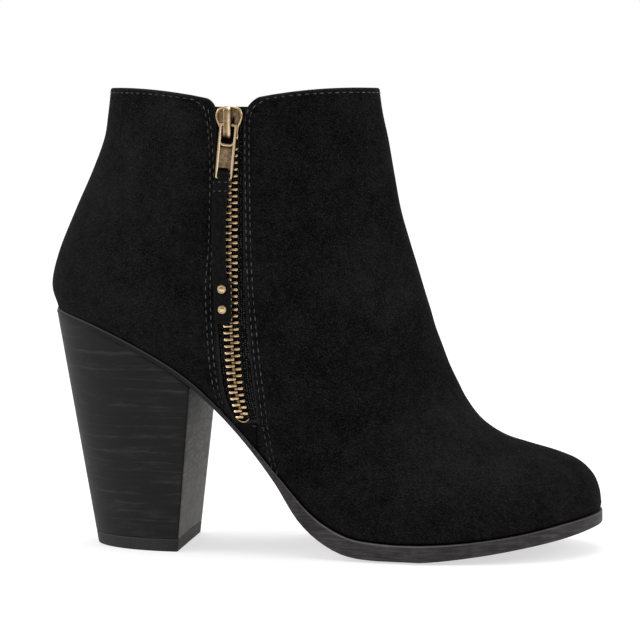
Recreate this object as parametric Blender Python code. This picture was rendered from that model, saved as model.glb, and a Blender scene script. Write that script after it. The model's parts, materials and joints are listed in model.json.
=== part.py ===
"""Chunky heel ankle boot for the right foot, with a brass zip on its outer side.

Every size is in millimetres, in the shoe's own frame: x runs forward from the rearmost
point of the heel counter, y towards the inner side of the foot and z up from the floor.
The upper is lofted through sections that fan from the toe, over the ball and the waist,
round the heel seat and up the shaft. All pieces hang on one empty, which stands the boot
over the origin by the middle of its footprint.
"""

import math
from collections import namedtuple

import bmesh
import bpy
import numpy as np
from mathutils import Matrix, Vector
from mathutils.bvhtree import BVHTree

MM = 0.001
GAP = 0.3
WALL = 1.8

# Plan of the feather line, where the upper meets the sole
HEEL_END = 2.4
HEEL_CENTRE = 40.0
HEEL_HALF_WIDTH = 28.0
BALL_X = 150.0
BALL_HALF_WIDTH = 39.5
TOE_END = 216.5
NOSE_POWER = 2.2

PlanRow = namedtuple("PlanRow", "name x half_width")
PLAN = [
    PlanRow("heel", HEEL_CENTRE, HEEL_HALF_WIDTH),
    PlanRow("breast", 58.0, 27.2),
    PlanRow("waist", 78.0, 24.8),
    PlanRow("shank end", 100.0, 27.5),
    PlanRow("rear ball", 125.0, 35.0),
    PlanRow("ball", BALL_X, BALL_HALF_WIDTH),
]

AxisRow = namedtuple("AxisRow", "name x y")
AXIS = [
    AxisRow("heel back", 0.0, 0.0),
    AxisRow("heel", HEEL_CENTRE, 0.0),
    AxisRow("waist", 78.0, -1.8),
    AxisRow("rear ball", 115.0, -0.8),
    AxisRow("ball", BALL_X, 0.5),
    AxisRow("toe joint", 180.0, 2.8),
    AxisRow("toe end", TOE_END, 7.5),
]

# Side view of the sole: height of the feather line and thickness of the outsole's edge
SoleRow = namedtuple("SoleRow", "name x height thickness")
SOLE = [
    SoleRow("heel back", HEEL_END, 94.0, 2.0),
    SoleRow("seat rear", 20.0, 88.9, 2.0),
    SoleRow("seat", HEEL_CENTRE, 79.8, 2.0),
    SoleRow("breast", 60.0, 67.3, 1.8),
    SoleRow("waist", 80.0, 47.4, 1.6),
    SoleRow("shank end", 95.0, 30.3, 2.7),
    SoleRow("break", 107.0, 17.4, 5.4),
    SoleRow("rear ball", 120.0, 9.8, 6.9),
    SoleRow("ball rear", 135.0, 7.4, 6.8),
    SoleRow("ball", BALL_X, 7.3, 6.6),
    SoleRow("tread front", 170.0, 8.6, 5.8),
    SoleRow("toe joint", 190.0, 11.2, 5.4),
    SoleRow("toe", 205.0, 13.9, 5.5),
    SoleRow("toe end", TOE_END, 15.6, 4.8),
]
WELT_MARGIN = 0.9
SEAT_MARGIN = 0.1
END_FLAT = 0.06
TREAD_CROWN = 0.7
FOREFOOT_GAIN = 4.0
TOE_UNDERCUT = 0.7
TREAD_FLAT_SHARE = 0.6

# Sections of the upper from the toe to the collar. The top point lies on the ridge and
# the end point on the feather line or, up the shaft, on the back. belly is how far the
# side swells past the feather, rounding and tuck are shares of the section's length.
FootRow = namedtuple("FootRow", "name top_x top_z sole_x belly rounding tuck ridge_y")
FOOT = [
    FootRow("tip", 217.0, 18.4, TOE_END, 0.0, 0.95, 0.30, 7.5),
    FootRow("toe wall", 216.1, 24.0, 214.8, 2.0, 0.95, 0.20, 7.5),
    FootRow("toe rise", 213.6, 29.6, 210.0, 3.0, 0.95, 0.15, 7.3),
    FootRow("toe cap", 208.0, 34.9, 201.5, 4.0, 0.95, 0.12, 6.8),
    FootRow("toe box", 199.5, 38.5, 190.0, 5.0, 0.95, 0.12, 6.0),
    FootRow("tread front", 188.5, 41.7, 175.0, 6.0, 0.95, 0.12, 5.0),
    FootRow("ball front", 179.0, 44.9, 160.0, 7.0, 0.93, 0.12, 4.2),
    FootRow("ball", 170.6, 50.6, 143.0, 8.0, 0.90, 0.12, 3.6),
    FootRow("rear ball", 164.7, 58.2, 124.0, 11.0, 0.85, 0.14, 3.0),
    FootRow("waist front", 161.0, 65.4, 104.0, 14.0, 0.75, 0.18, 2.4),
    FootRow("waist", 157.6, 72.6, 83.0, 17.0, 0.62, 0.22, 2.0),
    FootRow("shank", 154.8, 80.0, 62.0, 14.8, 0.52, 0.23, 1.6),
    FootRow("seat front", 152.2, 87.0, 42.0, 12.2, 0.48, 0.21, 1.3),
    FootRow("seat", 150.3, 93.6, 22.0, 17.0, 0.46, 0.22, 1.0),
    FootRow("seat corner", 148.0, 101.0, HEEL_END, 30.5, 0.45, 0.26, 0.8),
]
ShaftRow = namedtuple("ShaftRow", "name top_x top_z back_x back_z belly rounding tuck ridge_y")
SHAFT = [
    ShaftRow("counter", 145.3, 110.0, 0.0, 103.0, 30.5, 0.45, 0.30, 0.6),
    ShaftRow("counter top", 142.2, 120.0, 2.9, 116.0, 30.0, 0.46, 0.36, 0.4),
    ShaftRow("ankle", 138.6, 132.6, 9.9, 133.0, 29.0, 0.48, 0.45, 0.2),
    ShaftRow("upper ankle", 136.0, 146.5, 16.2, 147.0, 28.5, 0.50, 0.50, 0.0),
    ShaftRow("shaft", 133.6, 160.0, 21.2, 160.0, 28.5, 0.50, 0.50, 0.0),
    ShaftRow("upper shaft", 131.4, 170.0, 22.9, 170.0, 28.5, 0.50, 0.50, 0.0),
    ShaftRow("collar", 129.9, 180.0, 24.1, 180.0, 28.5, 0.50, 0.50, 0.0),
]
BALL_ROW = 7
CORNER = len(FOOT) - 1
COLLAR = CORNER + len(SHAFT)
END_STEPS = (0.0, 0.04, 0.16, 0.5)
SIDE_POINTS = 16
SKIRT = 2.5

# The collar dips to both sides, the outer one at the zip, and is level at front and back
COLLAR_FRONT = SHAFT[-1].top_x
COLLAR_BACK = SHAFT[-1].back_x
Dip = namedtuple("Dip", "x depth reach flatness power")
OUTER_DIP = Dip(76.0, 6.2, 50.0, 1.0, 2.0)
INNER_DIP = Dip((COLLAR_FRONT + COLLAR_BACK) / 2, 8.5, (COLLAR_FRONT - COLLAR_BACK) / 2, 2.0, 0.75)
DIP_FROM_ROW = COLLAR - 3

# Heel block and its top lift
BREAST_FOOT_X = 54.1
BREAST_LEAN = 0.085
HEEL_FOOT_BACK = 17.9
HEEL_FOOT_HALF_WIDTH = 23.4
TOP_LIFT_HEIGHT = 5.0
HEEL_TURN_POINTS = 15
HEEL_INSET = 0.9

INSOLE_THICKNESS = 2.0
INSOLE_TOE_CLEARANCE = 1.6
INSOLE_HEEL_CLEARANCE = 0.9

# Zip: its middle line and the edges of its opening, in the side view
ZipRow = namedtuple("ZipRow", "name z middle_x rear_x front_x")
ZIP = [
    ZipRow("mouth", 186.0, 76.0, 70.4, 81.1),
    ZipRow("shaft", 150.0, 76.0, 71.2, 81.1),
    ZipRow("ankle", 110.0, 76.3, 70.9, 81.6),
    ZipRow("counter", 87.0, 76.6, 71.6, 82.9),
    ZipRow("seat", 73.0, 77.7, 72.6, 84.4),
    ZipRow("shank", 61.0, 79.0, 74.4, 85.9),
    ZipRow("waist", 55.0, 80.2, 76.6, 86.4),
    ZipRow("foot", 51.0, 81.0, 79.4, 86.6),
]
Mouth = namedtuple("Mouth", "z reach rise")
REAR_MOUTH = Mouth(170.6, -5.2, 5.5)
FRONT_MOUTH = Mouth(166.0, 9.0, 10.8)
TAPE_TOP = 172.6
TAPE_OVERLAP = 6.0
TAPE_THICKNESS = 0.8
TAPE_SOLE_CLEARANCE = 6.0
CHAIN_TOP = 166.0
CHAIN_FOOT = 53.8
TOOTH_PITCH = 2.55
TOOTH_REACH = 3.0
CHAIN_CORE = 1.0
CHAIN_TOP_DEPTH = 0.2
CHAIN_DEPTH = 1.6
STOP_HALF_WIDTH = 1.9
STOP_LENGTH = 1.5
STOP_DEPTH = 1.0

# Slider: a rounded plate with a bridge along it
SLIDER_Z = 167.0
SLIDER_RADIUS = 5.1
SLIDER_TAIL = 7.6
SLIDER_TAIL_HALF_WIDTH = 3.6
SLIDER_PLATE = 1.0
SLIDER_LIFT = 0.15
BRIDGE_HALF_WIDTH = 1.55
BRIDGE_TOP = 4.9
BRIDGE_FOOT = -6.6
BRIDGE_HEIGHT = 3.7
BRIDGE_BAR = 0.9
BRIDGE_LEG = 1.2

# Pull tab: a brass frame that swings on its top bar, under the bridge
AXLE_Z = 165.6
AXLE_HEIGHT = 1.95
PULL_LEAN = math.radians(5.6)
PULL_HALF_WIDTH = 3.4
PULL_ARM = 1.0
PULL_THICKNESS = 1.1
PullRow = namedtuple("PullRow", "name start solid_middle")
PULL = [
    PullRow("axle bar", -0.55, True),
    PullRow("bridge window", 0.55, False),
    PullRow("plate", 7.4, True),
    PullRow("strap window", 17.0, False),
    PullRow("strap bar", 20.4, True),
    PullRow("end", 21.5, False),
]

# Leather strap of the pull, which loops round the pull's lower bar
StrapRow = namedtuple("StrapRow", "name along half_width thickness aside")
STRAP = [
    StrapRow("loop", 17.6, 1.7, 1.6, 0.0),
    StrapRow("loop shoulder", 18.3, 1.9, 2.3, 0.0),
    StrapRow("neck", 22.0, 1.9, 2.3, -0.3),
    StrapRow("shoulder", 23.2, 3.0, 2.1, -1.3),
    StrapRow("body", 40.0, 2.6, 1.9, -1.9),
    StrapRow("joint", 59.8, 2.7, 1.9, -1.4),
    StrapRow("end piece", 60.8, 3.3, 2.1, -0.3),
    StrapRow("corner", 74.2, 3.3, 2.1, -0.1),
    StrapRow("end", 76.0, 1.9, 1.9, 0.0),
]
STRAP_LIFT = 0.7
STRAP_LAY_LENGTH = 6.0
STRAP_STEP = 5.0
LOOP_HOLE_LENGTH = 1.7
RIVET_ALONG = (62.4, 70.0)
RIVET_RADIUS = 1.75
RIVET_HEIGHT = 0.8

# Base colours, roughness and metallic value of the finishes
Finish = namedtuple("Finish", "colour roughness metallic")
FINISHES = {
    "black_suede": Finish((0.010, 0.010, 0.011), 0.95, 0.0),
    "sole_edge": Finish((0.035, 0.033, 0.033), 0.55, 0.0),
    "stacked_heel": Finish((0.018, 0.018, 0.018), 0.50, 0.0),
    "top_lift_rubber": Finish((0.020, 0.020, 0.020), 0.65, 0.0),
    "insole_lining": Finish((0.020, 0.019, 0.018), 0.90, 0.0),
    "zip_tape_cloth": Finish((0.008, 0.008, 0.009), 0.90, 0.0),
    "aged_brass": Finish((0.480, 0.340, 0.160), 0.35, 1.0),
    "strap_leather": Finish((0.010, 0.010, 0.010), 0.70, 0.0),
}


def column(rows, name):
    """One named column of a table as an array."""
    return np.array([getattr(row, name) for row in rows], float)


def smooth_curve(at, places, values):
    """Cubic curve through the values, with slopes taken from their neighbours."""
    at, places, values = np.asarray(at, float), np.asarray(places), np.asarray(values)
    slopes = np.gradient(values, places)
    i = np.clip(np.searchsorted(places, at, side="right") - 1, 0, len(places) - 2)
    span = places[i + 1] - places[i]
    t = (at - places[i]) / span
    rise = (3 - 2 * t) * t * t
    start = span * slopes[i] * t * (1 - t) ** 2
    end = span * slopes[i + 1] * t * t * (t - 1)
    return values[i] * (1 - rise) + values[i + 1] * rise + start + end


def read_table(rows, places, name, at):
    return smooth_curve(at, column(rows, places), column(rows, name))


def nose(share):
    """Half-width share of a rounded end, from 1 at its centre to 0 at its tip."""
    return np.sqrt(np.clip(1 - np.clip(share, 0, 1) ** NOSE_POWER, 0, 1))


def half_width(x, toe_grow=0.0, heel_grow=0.0):
    """Half-width of the plan at x: a round heel, a fitted middle and a round toe."""
    x = np.asarray(x, float)
    heel_reach = HEEL_CENTRE - HEEL_END + heel_grow
    toe_reach = TOE_END - BALL_X + toe_grow
    heel = (HEEL_HALF_WIDTH + heel_grow) * nose((HEEL_CENTRE - x) / heel_reach)
    toe = (BALL_HALF_WIDTH + toe_grow) * nose((x - BALL_X) / toe_reach)
    inside = np.clip(x, HEEL_CENTRE, BALL_X)
    grown = np.interp(inside, (HEEL_CENTRE, BALL_X), (heel_grow, toe_grow))
    middle = read_table(PLAN, "x", "half_width", inside) + grown
    return np.where(x < HEEL_CENTRE, heel, np.where(x > BALL_X, toe, middle))


def axis_y(x):
    return read_table(AXIS, "x", "y", np.clip(x, 0.0, TOE_END))


def sole_height(x):
    return read_table(SOLE, "x", "height", x)


# Objects

def make_material(name):
    finish = FINISHES[name]
    material = bpy.data.materials.get(name) or bpy.data.materials.new(name)
    material.use_nodes = True
    shader = material.node_tree.nodes["Principled BSDF"]
    shader.inputs["Base Color"].default_value = (*finish.colour, 1.0)
    shader.inputs["Roughness"].default_value = finish.roughness
    shader.inputs["Metallic"].default_value = finish.metallic
    return material


def make_object(name, points, faces, finish):
    """A mesh object from points in millimetres: doubles merged, faces turned outward."""
    work = bmesh.new()
    corners = [work.verts.new(Vector(point) * MM) for point in points]
    for face in faces:
        work.faces.new([corners[i] for i in face])
    bmesh.ops.remove_doubles(work, verts=work.verts, dist=1e-6)
    loose = [vert for vert in work.verts if not vert.link_faces]
    bmesh.ops.delete(work, geom=loose, context="VERTS")
    bmesh.ops.recalc_face_normals(work, faces=work.faces)
    mesh = bpy.data.meshes.new(name)
    work.to_mesh(mesh)
    work.free()
    mesh.materials.append(make_material(finish))
    mesh.shade_smooth()
    mesh.set_sharp_from_angle(angle=math.radians(35))
    made = bpy.data.objects.new(name, mesh)
    bpy.context.scene.collection.objects.link(made)
    return made


def make_cutter(name, points, faces):
    made = make_object(name, points, faces, "black_suede")
    made.hide_render = True
    made.display_type = "WIRE"
    return made


def grid_faces(rows, columns):
    """Quads of a grid of points, each wound by column and then by row."""
    return [
        (r * columns + c, r * columns + c + 1, (r + 1) * columns + c + 1, (r + 1) * columns + c)
        for r in range(rows - 1)
        for c in range(columns - 1)
    ]


def slab_mesh(outer, inner, filled=None):
    """Points and faces of a closed slab between two grids, with a face per filled cell."""
    rows, columns = outer.shape[:2]
    if filled is None:
        filled = np.ones((rows - 1, columns - 1), bool)
    points = [*outer.reshape(-1, 3), *inner.reshape(-1, 3)]
    under = rows * columns

    def is_filled(r, c):
        return 0 <= r < rows - 1 and 0 <= c < columns - 1 and filled[r, c]

    faces = []
    for r, c in np.argwhere(filled):
        a, b = r * columns + c, r * columns + c + 1
        d, e = a + columns, b + columns
        faces += [(a, b, e, d), (under + d, under + e, under + b, under + a)]
        sides = (((r - 1, c), a, b), ((r, c + 1), b, e), ((r + 1, c), e, d), ((r, c - 1), d, a))
        for neighbour, p, q in sides:
            if not is_filled(*neighbour):
                faces.append((p, under + p, under + q, q))
    return points, faces


def add_boolean(target, cutter, operation):
    cut = target.modifiers.new(cutter.name, "BOOLEAN")
    cut.operation = operation
    cut.object = cutter


# The upper

def sole_normal(x):
    """Unit vector down from the sole's line, in the side view."""
    slope = sole_height(x + 0.5) - sole_height(x - 0.5)
    length = np.hypot(slope, 1.0)
    return slope / length, -1.0 / length


def upper_sections(place):
    """The section data at places along the fan, 0 at the toe tip and COLLAR at the top."""
    place = np.asarray(place, float)
    rows = FOOT + SHAFT
    index = np.arange(len(rows))
    data = {
        name: smooth_curve(place, index, column(rows, name))
        for name in ("top_x", "top_z", "belly", "rounding", "tuck", "ridge_y")
    }
    foot_x = smooth_curve(np.minimum(place, CORNER), index[: CORNER + 1], column(FOOT, "sole_x"))
    corner_x, corner_z = HEEL_END, float(sole_height(HEEL_END))
    back_index = index[CORNER:]
    back = np.maximum(place, CORNER)
    back_x = smooth_curve(back, back_index, [corner_x, *column(SHAFT, "back_x")])
    back_z = smooth_curve(back, back_index, [corner_z, *column(SHAFT, "back_z")])
    on_sole = place <= CORNER
    data["end_x"] = np.where(on_sole, foot_x, back_x)
    data["end_z"] = np.where(on_sole, sole_height(foot_x), back_z)
    data["middle"] = np.where(on_sole, axis_y(foot_x), 0.0)
    width = np.where(on_sole, half_width(foot_x), 0.0)
    row_widths = [*half_width(column(FOOT, "sole_x")), *np.zeros(len(SHAFT))]
    row_full = np.hypot(row_widths, column(rows, "belly"))
    full = smooth_curve(place, index, row_full)
    data["full"] = np.where(place < BALL_ROW, np.hypot(width, data["belly"]), full)
    data["belly"] = np.sqrt(np.clip(data["full"] ** 2 - width**2, 0, None))
    return data


def collar_dip(x, place, inward):
    """How far the collar sinks at x on one side, fading out down the shaft."""
    dip = INNER_DIP if inward > 0 else OUTER_DIP
    away = np.clip(np.abs(x - dip.x) / dip.reach, 0, 1)
    fade = np.clip((place - DIP_FROM_ROW) / (COLLAR - DIP_FROM_ROW), 0, 1)
    return dip.depth * (1 - away**dip.flatness) ** dip.power * fade


def upper_side(place, share, inward):
    """Points of one side of the upper. share runs from 0 at the ridge to 1 at the
    feather or the back; inward is 1 for the inner side of the foot and -1 for the outer."""
    data = {name: value[:, None] for name, value in upper_sections(place).items()}
    along = ((1 - np.cos(math.pi * share)) / 2)[None, :]
    crown = np.sqrt(1 - (1 - np.clip(along / data["rounding"], 0, 1)) ** 2)
    tucked = np.clip((along - 1) / data["tuck"] + 1, 0, 1)
    side = crown * np.sqrt(np.clip(data["full"] ** 2 - (tucked * data["belly"]) ** 2, 0, None))
    x = data["top_x"] + (data["end_x"] - data["top_x"]) * along
    z = data["top_z"] + (data["end_z"] - data["top_z"]) * along
    y = data["ridge_y"] * (1 - crown) + data["middle"] * crown + inward * side
    z = z - collar_dip(x, np.asarray(place, float)[:, None], inward)
    return np.stack([x, y, z], axis=-1)


def upper_places():
    """Places of the lofted sections: each half row, closing up to the two round ends."""
    halves = np.arange(2 * COLLAR + 1) / 2
    toe = np.array(END_STEPS)
    return np.unique(np.concatenate([halves, toe, CORNER - toe]))


def upper_sheet():
    """Grid of points from the outer feather over the ridge to the inner feather, with a
    skirt under the feather for the sole's surface to trim."""
    places = upper_places()
    share = np.linspace(0, 1, SIDE_POINTS)
    outer = upper_side(places, share, -1)
    inner = upper_side(places, share, 1)
    down_x, down_z = sole_normal(upper_sections(places)["end_x"])
    down = np.stack([down_x, 0.0 * down_x, down_z], axis=-1)[:, None, :]
    skirt = np.where(places < CORNER, SKIRT, 0.0)[:, None, None] * down
    sheet = np.concatenate([outer[:, ::-1], inner[:, 1:]], axis=1)
    return np.concatenate([sheet[:, :1] + skirt, sheet, sheet[:, -1:] + skirt], axis=1)


class OuterSide:
    """Places and outward directions on the outer side of the upper, by side view x and z."""

    def __init__(self, sheet):
        rows, columns = sheet.shape[:2]
        points = [Vector(point) for point in sheet.reshape(-1, 3)]
        self.tree = BVHTree.FromPolygons(points, grid_faces(rows, columns))

    def hit(self, x, z):
        place = self.tree.ray_cast(Vector((x, -200.0, z)), Vector((0.0, 1.0, 0.0)))[0]
        if place is None:
            raise ValueError(f"no upper at x {x:.1f}, z {z:.1f}")
        return place

    def outward(self, x, z, reach=1.0):
        across = self.hit(x + reach, z) - self.hit(x - reach, z)
        up = self.hit(x, z + reach) - self.hit(x, z - reach)
        return across.cross(up).normalized()

    def point(self, x, z, lift):
        return self.hit(x, z) + self.outward(x, z) * lift


def zip_edge(name, z):
    return read_table(ZIP[::-1], "z", name, z)


def opening_edge(name, mouth):
    """One edge of the zip opening, up from its foot, with its flared mouth on top."""
    levels = np.linspace(ZIP[-1].z, mouth.z, 16)
    turn = np.linspace(0, math.pi / 2, 6)[1:]
    flare_x = zip_edge(name, mouth.z) + mouth.reach * (1 - np.cos(turn))
    flare_z = mouth.z + mouth.rise * np.sin(turn)
    edge = [*zip(zip_edge(name, levels), levels), *zip(flare_x, flare_z)]
    return edge + [(edge[-1][0], ZIP[0].z)]


def make_opening_cutter():
    """A prism through the outer wall alone, as tall as the zip opening."""
    rear, front = opening_edge("rear_x", REAR_MOUTH), opening_edge("front_x", FRONT_MOUTH)
    near, far = -70.0, -8.0
    near_face = np.array([[(r[0], near, r[1]), (f[0], near, f[1])] for r, f in zip(rear, front)])
    far_face = near_face.copy()
    far_face[:, :, 1] = far
    return make_cutter("zip_opening_cutter", *slab_mesh(near_face, far_face))


def sole_stations(toe_grow, heel_grow):
    """Places along the sole at the upper's own sections, out to its grown outline."""
    low, high = HEEL_END - heel_grow + END_FLAT, TOE_END + toe_grow - END_FLAT
    places = upper_places()
    x = upper_sections(places[places <= CORNER])["end_x"][::-1]
    inside = x[(x > low + END_FLAT) & (x < high - END_FLAT)]
    return np.concatenate([[low], inside, [high]])


def sole_layer(x, depth, toe_grow, heel_grow, across):
    """Grid of points at a depth under the sole's line, out to its grown outline."""
    down_x, down_z = sole_normal(x)
    place_x = (x + down_x * depth)[:, None]
    place_z = (sole_height(x) + down_z * depth)[:, None]
    y = axis_y(x)[:, None] + half_width(x, toe_grow, heel_grow)[:, None] * across[None, :]
    ones = np.ones_like(y)
    return np.stack([place_x * ones, y, place_z * ones], axis=-1)


def make_sole_cutter():
    """A slab that trims the upper to a clearance above the sole's surface."""
    x = sole_stations(SKIRT, SKIRT)
    across = np.array([-1.0, 1.0])
    top = sole_layer(x, -GAP, SKIRT, SKIRT, across)
    bottom = sole_layer(x, 2 * SKIRT, SKIRT, SKIRT, across)
    return make_cutter("sole_trim_cutter", *slab_mesh(top, bottom))


def make_upper(sheet):
    rows, columns = sheet.shape[:2]
    upper = make_object("upper", sheet.reshape(-1, 3), grid_faces(rows, columns), "black_suede")
    wall = upper.modifiers.new("wall", "SOLIDIFY")
    wall.thickness = WALL * MM
    wall.offset = -1.0
    add_boolean(upper, make_sole_cutter(), "DIFFERENCE")
    add_boolean(upper, make_opening_cutter(), "DIFFERENCE")
    return upper


# Sole, heel and insole

def tread_rise(across):
    """Rise of the tread towards its edges, flat over the middle share."""
    past_flat = np.clip((np.abs(across) - TREAD_FLAT_SHARE) / (1 - TREAD_FLAT_SHARE), 0, 1)
    return TREAD_CROWN * past_flat**2


def make_outsole():
    """The full-length sole: thin over the heel and waist, thick under the forefoot."""
    margins = (WELT_MARGIN, SEAT_MARGIN)
    x = sole_stations(*margins)
    edge = np.linspace(TREAD_FLAT_SHARE, 1, 4)
    across = np.concatenate([-edge[::-1], edge])
    thickness = read_table(SOLE, "x", "thickness", x)
    forefoot = np.clip((thickness - SOLE[0].thickness) / FOREFOOT_GAIN, 0, 1)
    top = sole_layer(x, 0.0, *margins, across)
    toe_share = np.clip((x - BALL_X) / (x[-1] - BALL_X), 0, 1)
    under_x = x - TOE_UNDERCUT * toe_share**2
    under_margins = (WELT_MARGIN - TOE_UNDERCUT, SEAT_MARGIN)
    bottom = sole_layer(under_x, thickness + TREAD_CROWN * forefoot, *under_margins, across)
    bottom[:, :, 2] += tread_rise(across)[None, :] * forefoot[:, None]
    bottom[:, :, 2] = np.maximum(bottom[:, :, 2], tread_rise(across)[None, :])
    return make_object("outsole", *slab_mesh(top, bottom), "sole_edge")


def heel_turn():
    """Turn round the heel's outline from the breast to the back, as cosine and sine."""
    turn = np.linspace(0, math.pi / 2, HEEL_TURN_POINTS)
    return np.cos(turn), np.sin(turn)


def heel_foot_outline():
    """Half outline of the heel on the floor: x and half-width from breast to back."""
    wide, back = heel_turn()
    x = BREAST_FOOT_X - (BREAST_FOOT_X - HEEL_FOOT_BACK) * back
    return x, HEEL_FOOT_HALF_WIDTH * wide


def heel_seat_outline():
    """Half outline of the heel under the seat, with its height, from breast to back."""
    back = heel_turn()[1]
    thickness = SOLE[0].thickness + GAP
    breast_z = sole_height(BREAST_FOOT_X) - thickness
    lean_back = sole_normal(BREAST_FOOT_X)[0] * thickness
    breast_x = BREAST_FOOT_X + BREAST_LEAN * breast_z - lean_back
    x = breast_x - (breast_x - HEEL_END - HEEL_INSET) * back
    down_x, down_z = sole_normal(x)
    y = half_width(x, -HEEL_INSET, -HEEL_INSET)
    return x + down_x * thickness, y, sole_height(x) + down_z * thickness


def heel_grid(share, across):
    """Points of the heel's block at a share of its height, floor 0 to seat 1."""
    foot_x, foot_y = heel_foot_outline()
    seat_x, seat_y, seat_z = heel_seat_outline()
    x = foot_x + (seat_x - foot_x) * share
    y = foot_y + (seat_y - foot_y) * share
    z = seat_z * share
    ones = np.ones((len(x), len(across)))
    return np.stack([x[:, None] * ones, y[:, None] * across, z[:, None] * ones], axis=-1)


def heel_level(height, across):
    """Points of the heel's block at one height above the floor."""
    seat_z = heel_seat_outline()[2]
    return heel_grid(height / seat_z, across)


def make_heel():
    across = np.linspace(-1, 1, 3)
    foot = heel_level(TOP_LIFT_HEIGHT + GAP, across)
    return make_object("heel", *slab_mesh(heel_grid(1.0, across), foot), "stacked_heel")


def make_top_lift():
    across = np.linspace(-1, 1, 3)
    top, floor = heel_level(TOP_LIFT_HEIGHT, across), heel_level(0.0, across)
    return make_object("top_lift", *slab_mesh(top, floor), "top_lift_rubber")


def make_insole():
    """The sock on the sole, inside the upper's wall."""
    insets = (-WALL - INSOLE_TOE_CLEARANCE, -WALL - INSOLE_HEEL_CLEARANCE)
    x = sole_stations(*insets)
    across = np.linspace(-1, 1, 5)
    low = sole_layer(x, -GAP, *insets, across)
    high = sole_layer(x, -GAP - INSOLE_THICKNESS, *insets, across)
    return make_object("insole", *slab_mesh(high, low), "insole_lining")


# Zip

def make_zip_tape(side):
    """Cloth tape behind the opening, stopping clear of the insole."""
    levels = np.linspace(0, 1, 16)
    across = np.linspace(0, 1, 7)
    rear = ZIP[0].rear_x - TAPE_OVERLAP
    front = ZIP[0].front_x + TAPE_OVERLAP
    outer = np.empty((len(levels), len(across), 3))
    inner = np.empty_like(outer)
    for i, level in enumerate(levels):
        for j, share in enumerate(across):
            x = rear + (front - rear) * share
            low = max(float(sole_height(x)) + TAPE_SOLE_CLEARANCE, ZIP[-1].z)
            z = low + (TAPE_TOP - low) * level
            depth = WALL + GAP
            outer[i, j] = side.point(x, z, -depth)
            inner[i, j] = side.point(x, z, -depth - TAPE_THICKNESS)
    return make_object("zip_tape", *slab_mesh(outer, inner), "zip_tape_cloth")


class ZipPath:
    """The zip's middle line on the outer side, read by length down from a height."""

    def __init__(self, side, top):
        self.side = side
        self.levels = np.linspace(top, ZIP[-1].z, 120)
        self.middle = zip_edge("middle_x", self.levels)
        places = np.array([side.hit(x, z) for x, z in zip(self.middle, self.levels)])
        steps = np.linalg.norm(np.diff(places, axis=0), axis=1)
        self.length = np.concatenate([[0.0], np.cumsum(steps)])

    def length_to(self, z):
        return float(np.interp(-z, -self.levels, self.length))

    def point(self, along, aside, lift):
        """Point at a length down the zip, aside towards the toe, lifted off the upper."""
        z = float(np.interp(along, self.length, self.levels))
        x = float(zip_edge("middle_x", z))
        lean = float(zip_edge("middle_x", z + 1.0) - zip_edge("middle_x", z - 1.0)) / 2
        across = Vector((1.0, -lean)).normalized()
        return self.side.point(x + across.x * aside, z + across.y * aside, lift)


def path_grid(path, lengths, asides, lift):
    return np.array([[path.point(l, a, lift) for a in asides] for l in lengths])


def make_zip_chain(path):
    """Meshed teeth as one comb: a core with teeth to the rear and the front in turn."""
    count = int(path.length_to(CHAIN_FOOT) / (TOOTH_PITCH / 2))
    lengths = np.arange(count + 1) * TOOTH_PITCH / 2
    asides = (-TOOTH_REACH, -CHAIN_CORE, CHAIN_CORE, TOOTH_REACH)
    filled = np.ones((count, 3), bool)
    filled[1::2, 0] = False
    filled[0::2, 2] = False
    outer = path_grid(path, lengths, asides, -CHAIN_TOP_DEPTH)
    inner = path_grid(path, lengths, asides, -CHAIN_TOP_DEPTH - CHAIN_DEPTH)
    return make_object("zip_chain", *slab_mesh(outer, inner, filled), "aged_brass")


def make_zip_stop(path):
    """Staple that closes the lower end of the chain."""
    count = int(path.length_to(CHAIN_FOOT) / (TOOTH_PITCH / 2))
    start = count * TOOTH_PITCH / 2 + GAP
    lengths = np.linspace(start, start + STOP_LENGTH, 2)
    asides = np.linspace(-STOP_HALF_WIDTH, STOP_HALF_WIDTH, 4)
    outer = path_grid(path, lengths, asides, -CHAIN_TOP_DEPTH - CHAIN_DEPTH + STOP_DEPTH)
    inner = path_grid(path, lengths, asides, -CHAIN_TOP_DEPTH - CHAIN_DEPTH)
    return make_object("zip_stop", *slab_mesh(outer, inner), "aged_brass")


def surface_frame(side, x, z, lift, lean=0.0):
    """Matrix in millimetres whose axes run across, up and out of the outer side."""
    out = side.outward(x, z)
    up = (Vector((0.0, 0.0, 1.0)) - out * out.z).normalized()
    across = up.cross(out)
    turned_up = up * math.cos(lean) + across * math.sin(lean)
    turned_across = turned_up.cross(out)
    frame = Matrix((turned_across, turned_up, out)).transposed().to_4x4()
    frame.translation = side.point(x, z, lift)
    return frame


def placed(frame, points):
    return [frame @ Vector(point) for point in points]


def prism(outline, low, high):
    """Points and faces of a flat outline carried along its third axis."""
    count = len(outline)
    points = [(*corner, low) for corner in outline] + [(*corner, high) for corner in outline]
    sides = [(i, (i + 1) % count, count + (i + 1) % count, count + i) for i in range(count)]
    return points, sides + [tuple(range(count - 1, -1, -1)), tuple(range(count, 2 * count))]


def slider_outline():
    """Round head with a narrower tail, drawn upright about the head's centre."""
    shoulder = math.asin(SLIDER_TAIL_HALF_WIDTH / SLIDER_RADIUS)
    turns = np.linspace(-math.pi / 2 + shoulder, 1.5 * math.pi - shoulder, 19)
    head = [(SLIDER_RADIUS * math.cos(t), SLIDER_RADIUS * math.sin(t)) for t in turns]
    tail = [(-SLIDER_TAIL_HALF_WIDTH, -SLIDER_TAIL), (SLIDER_TAIL_HALF_WIDTH, -SLIDER_TAIL)]
    return head + tail


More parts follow.
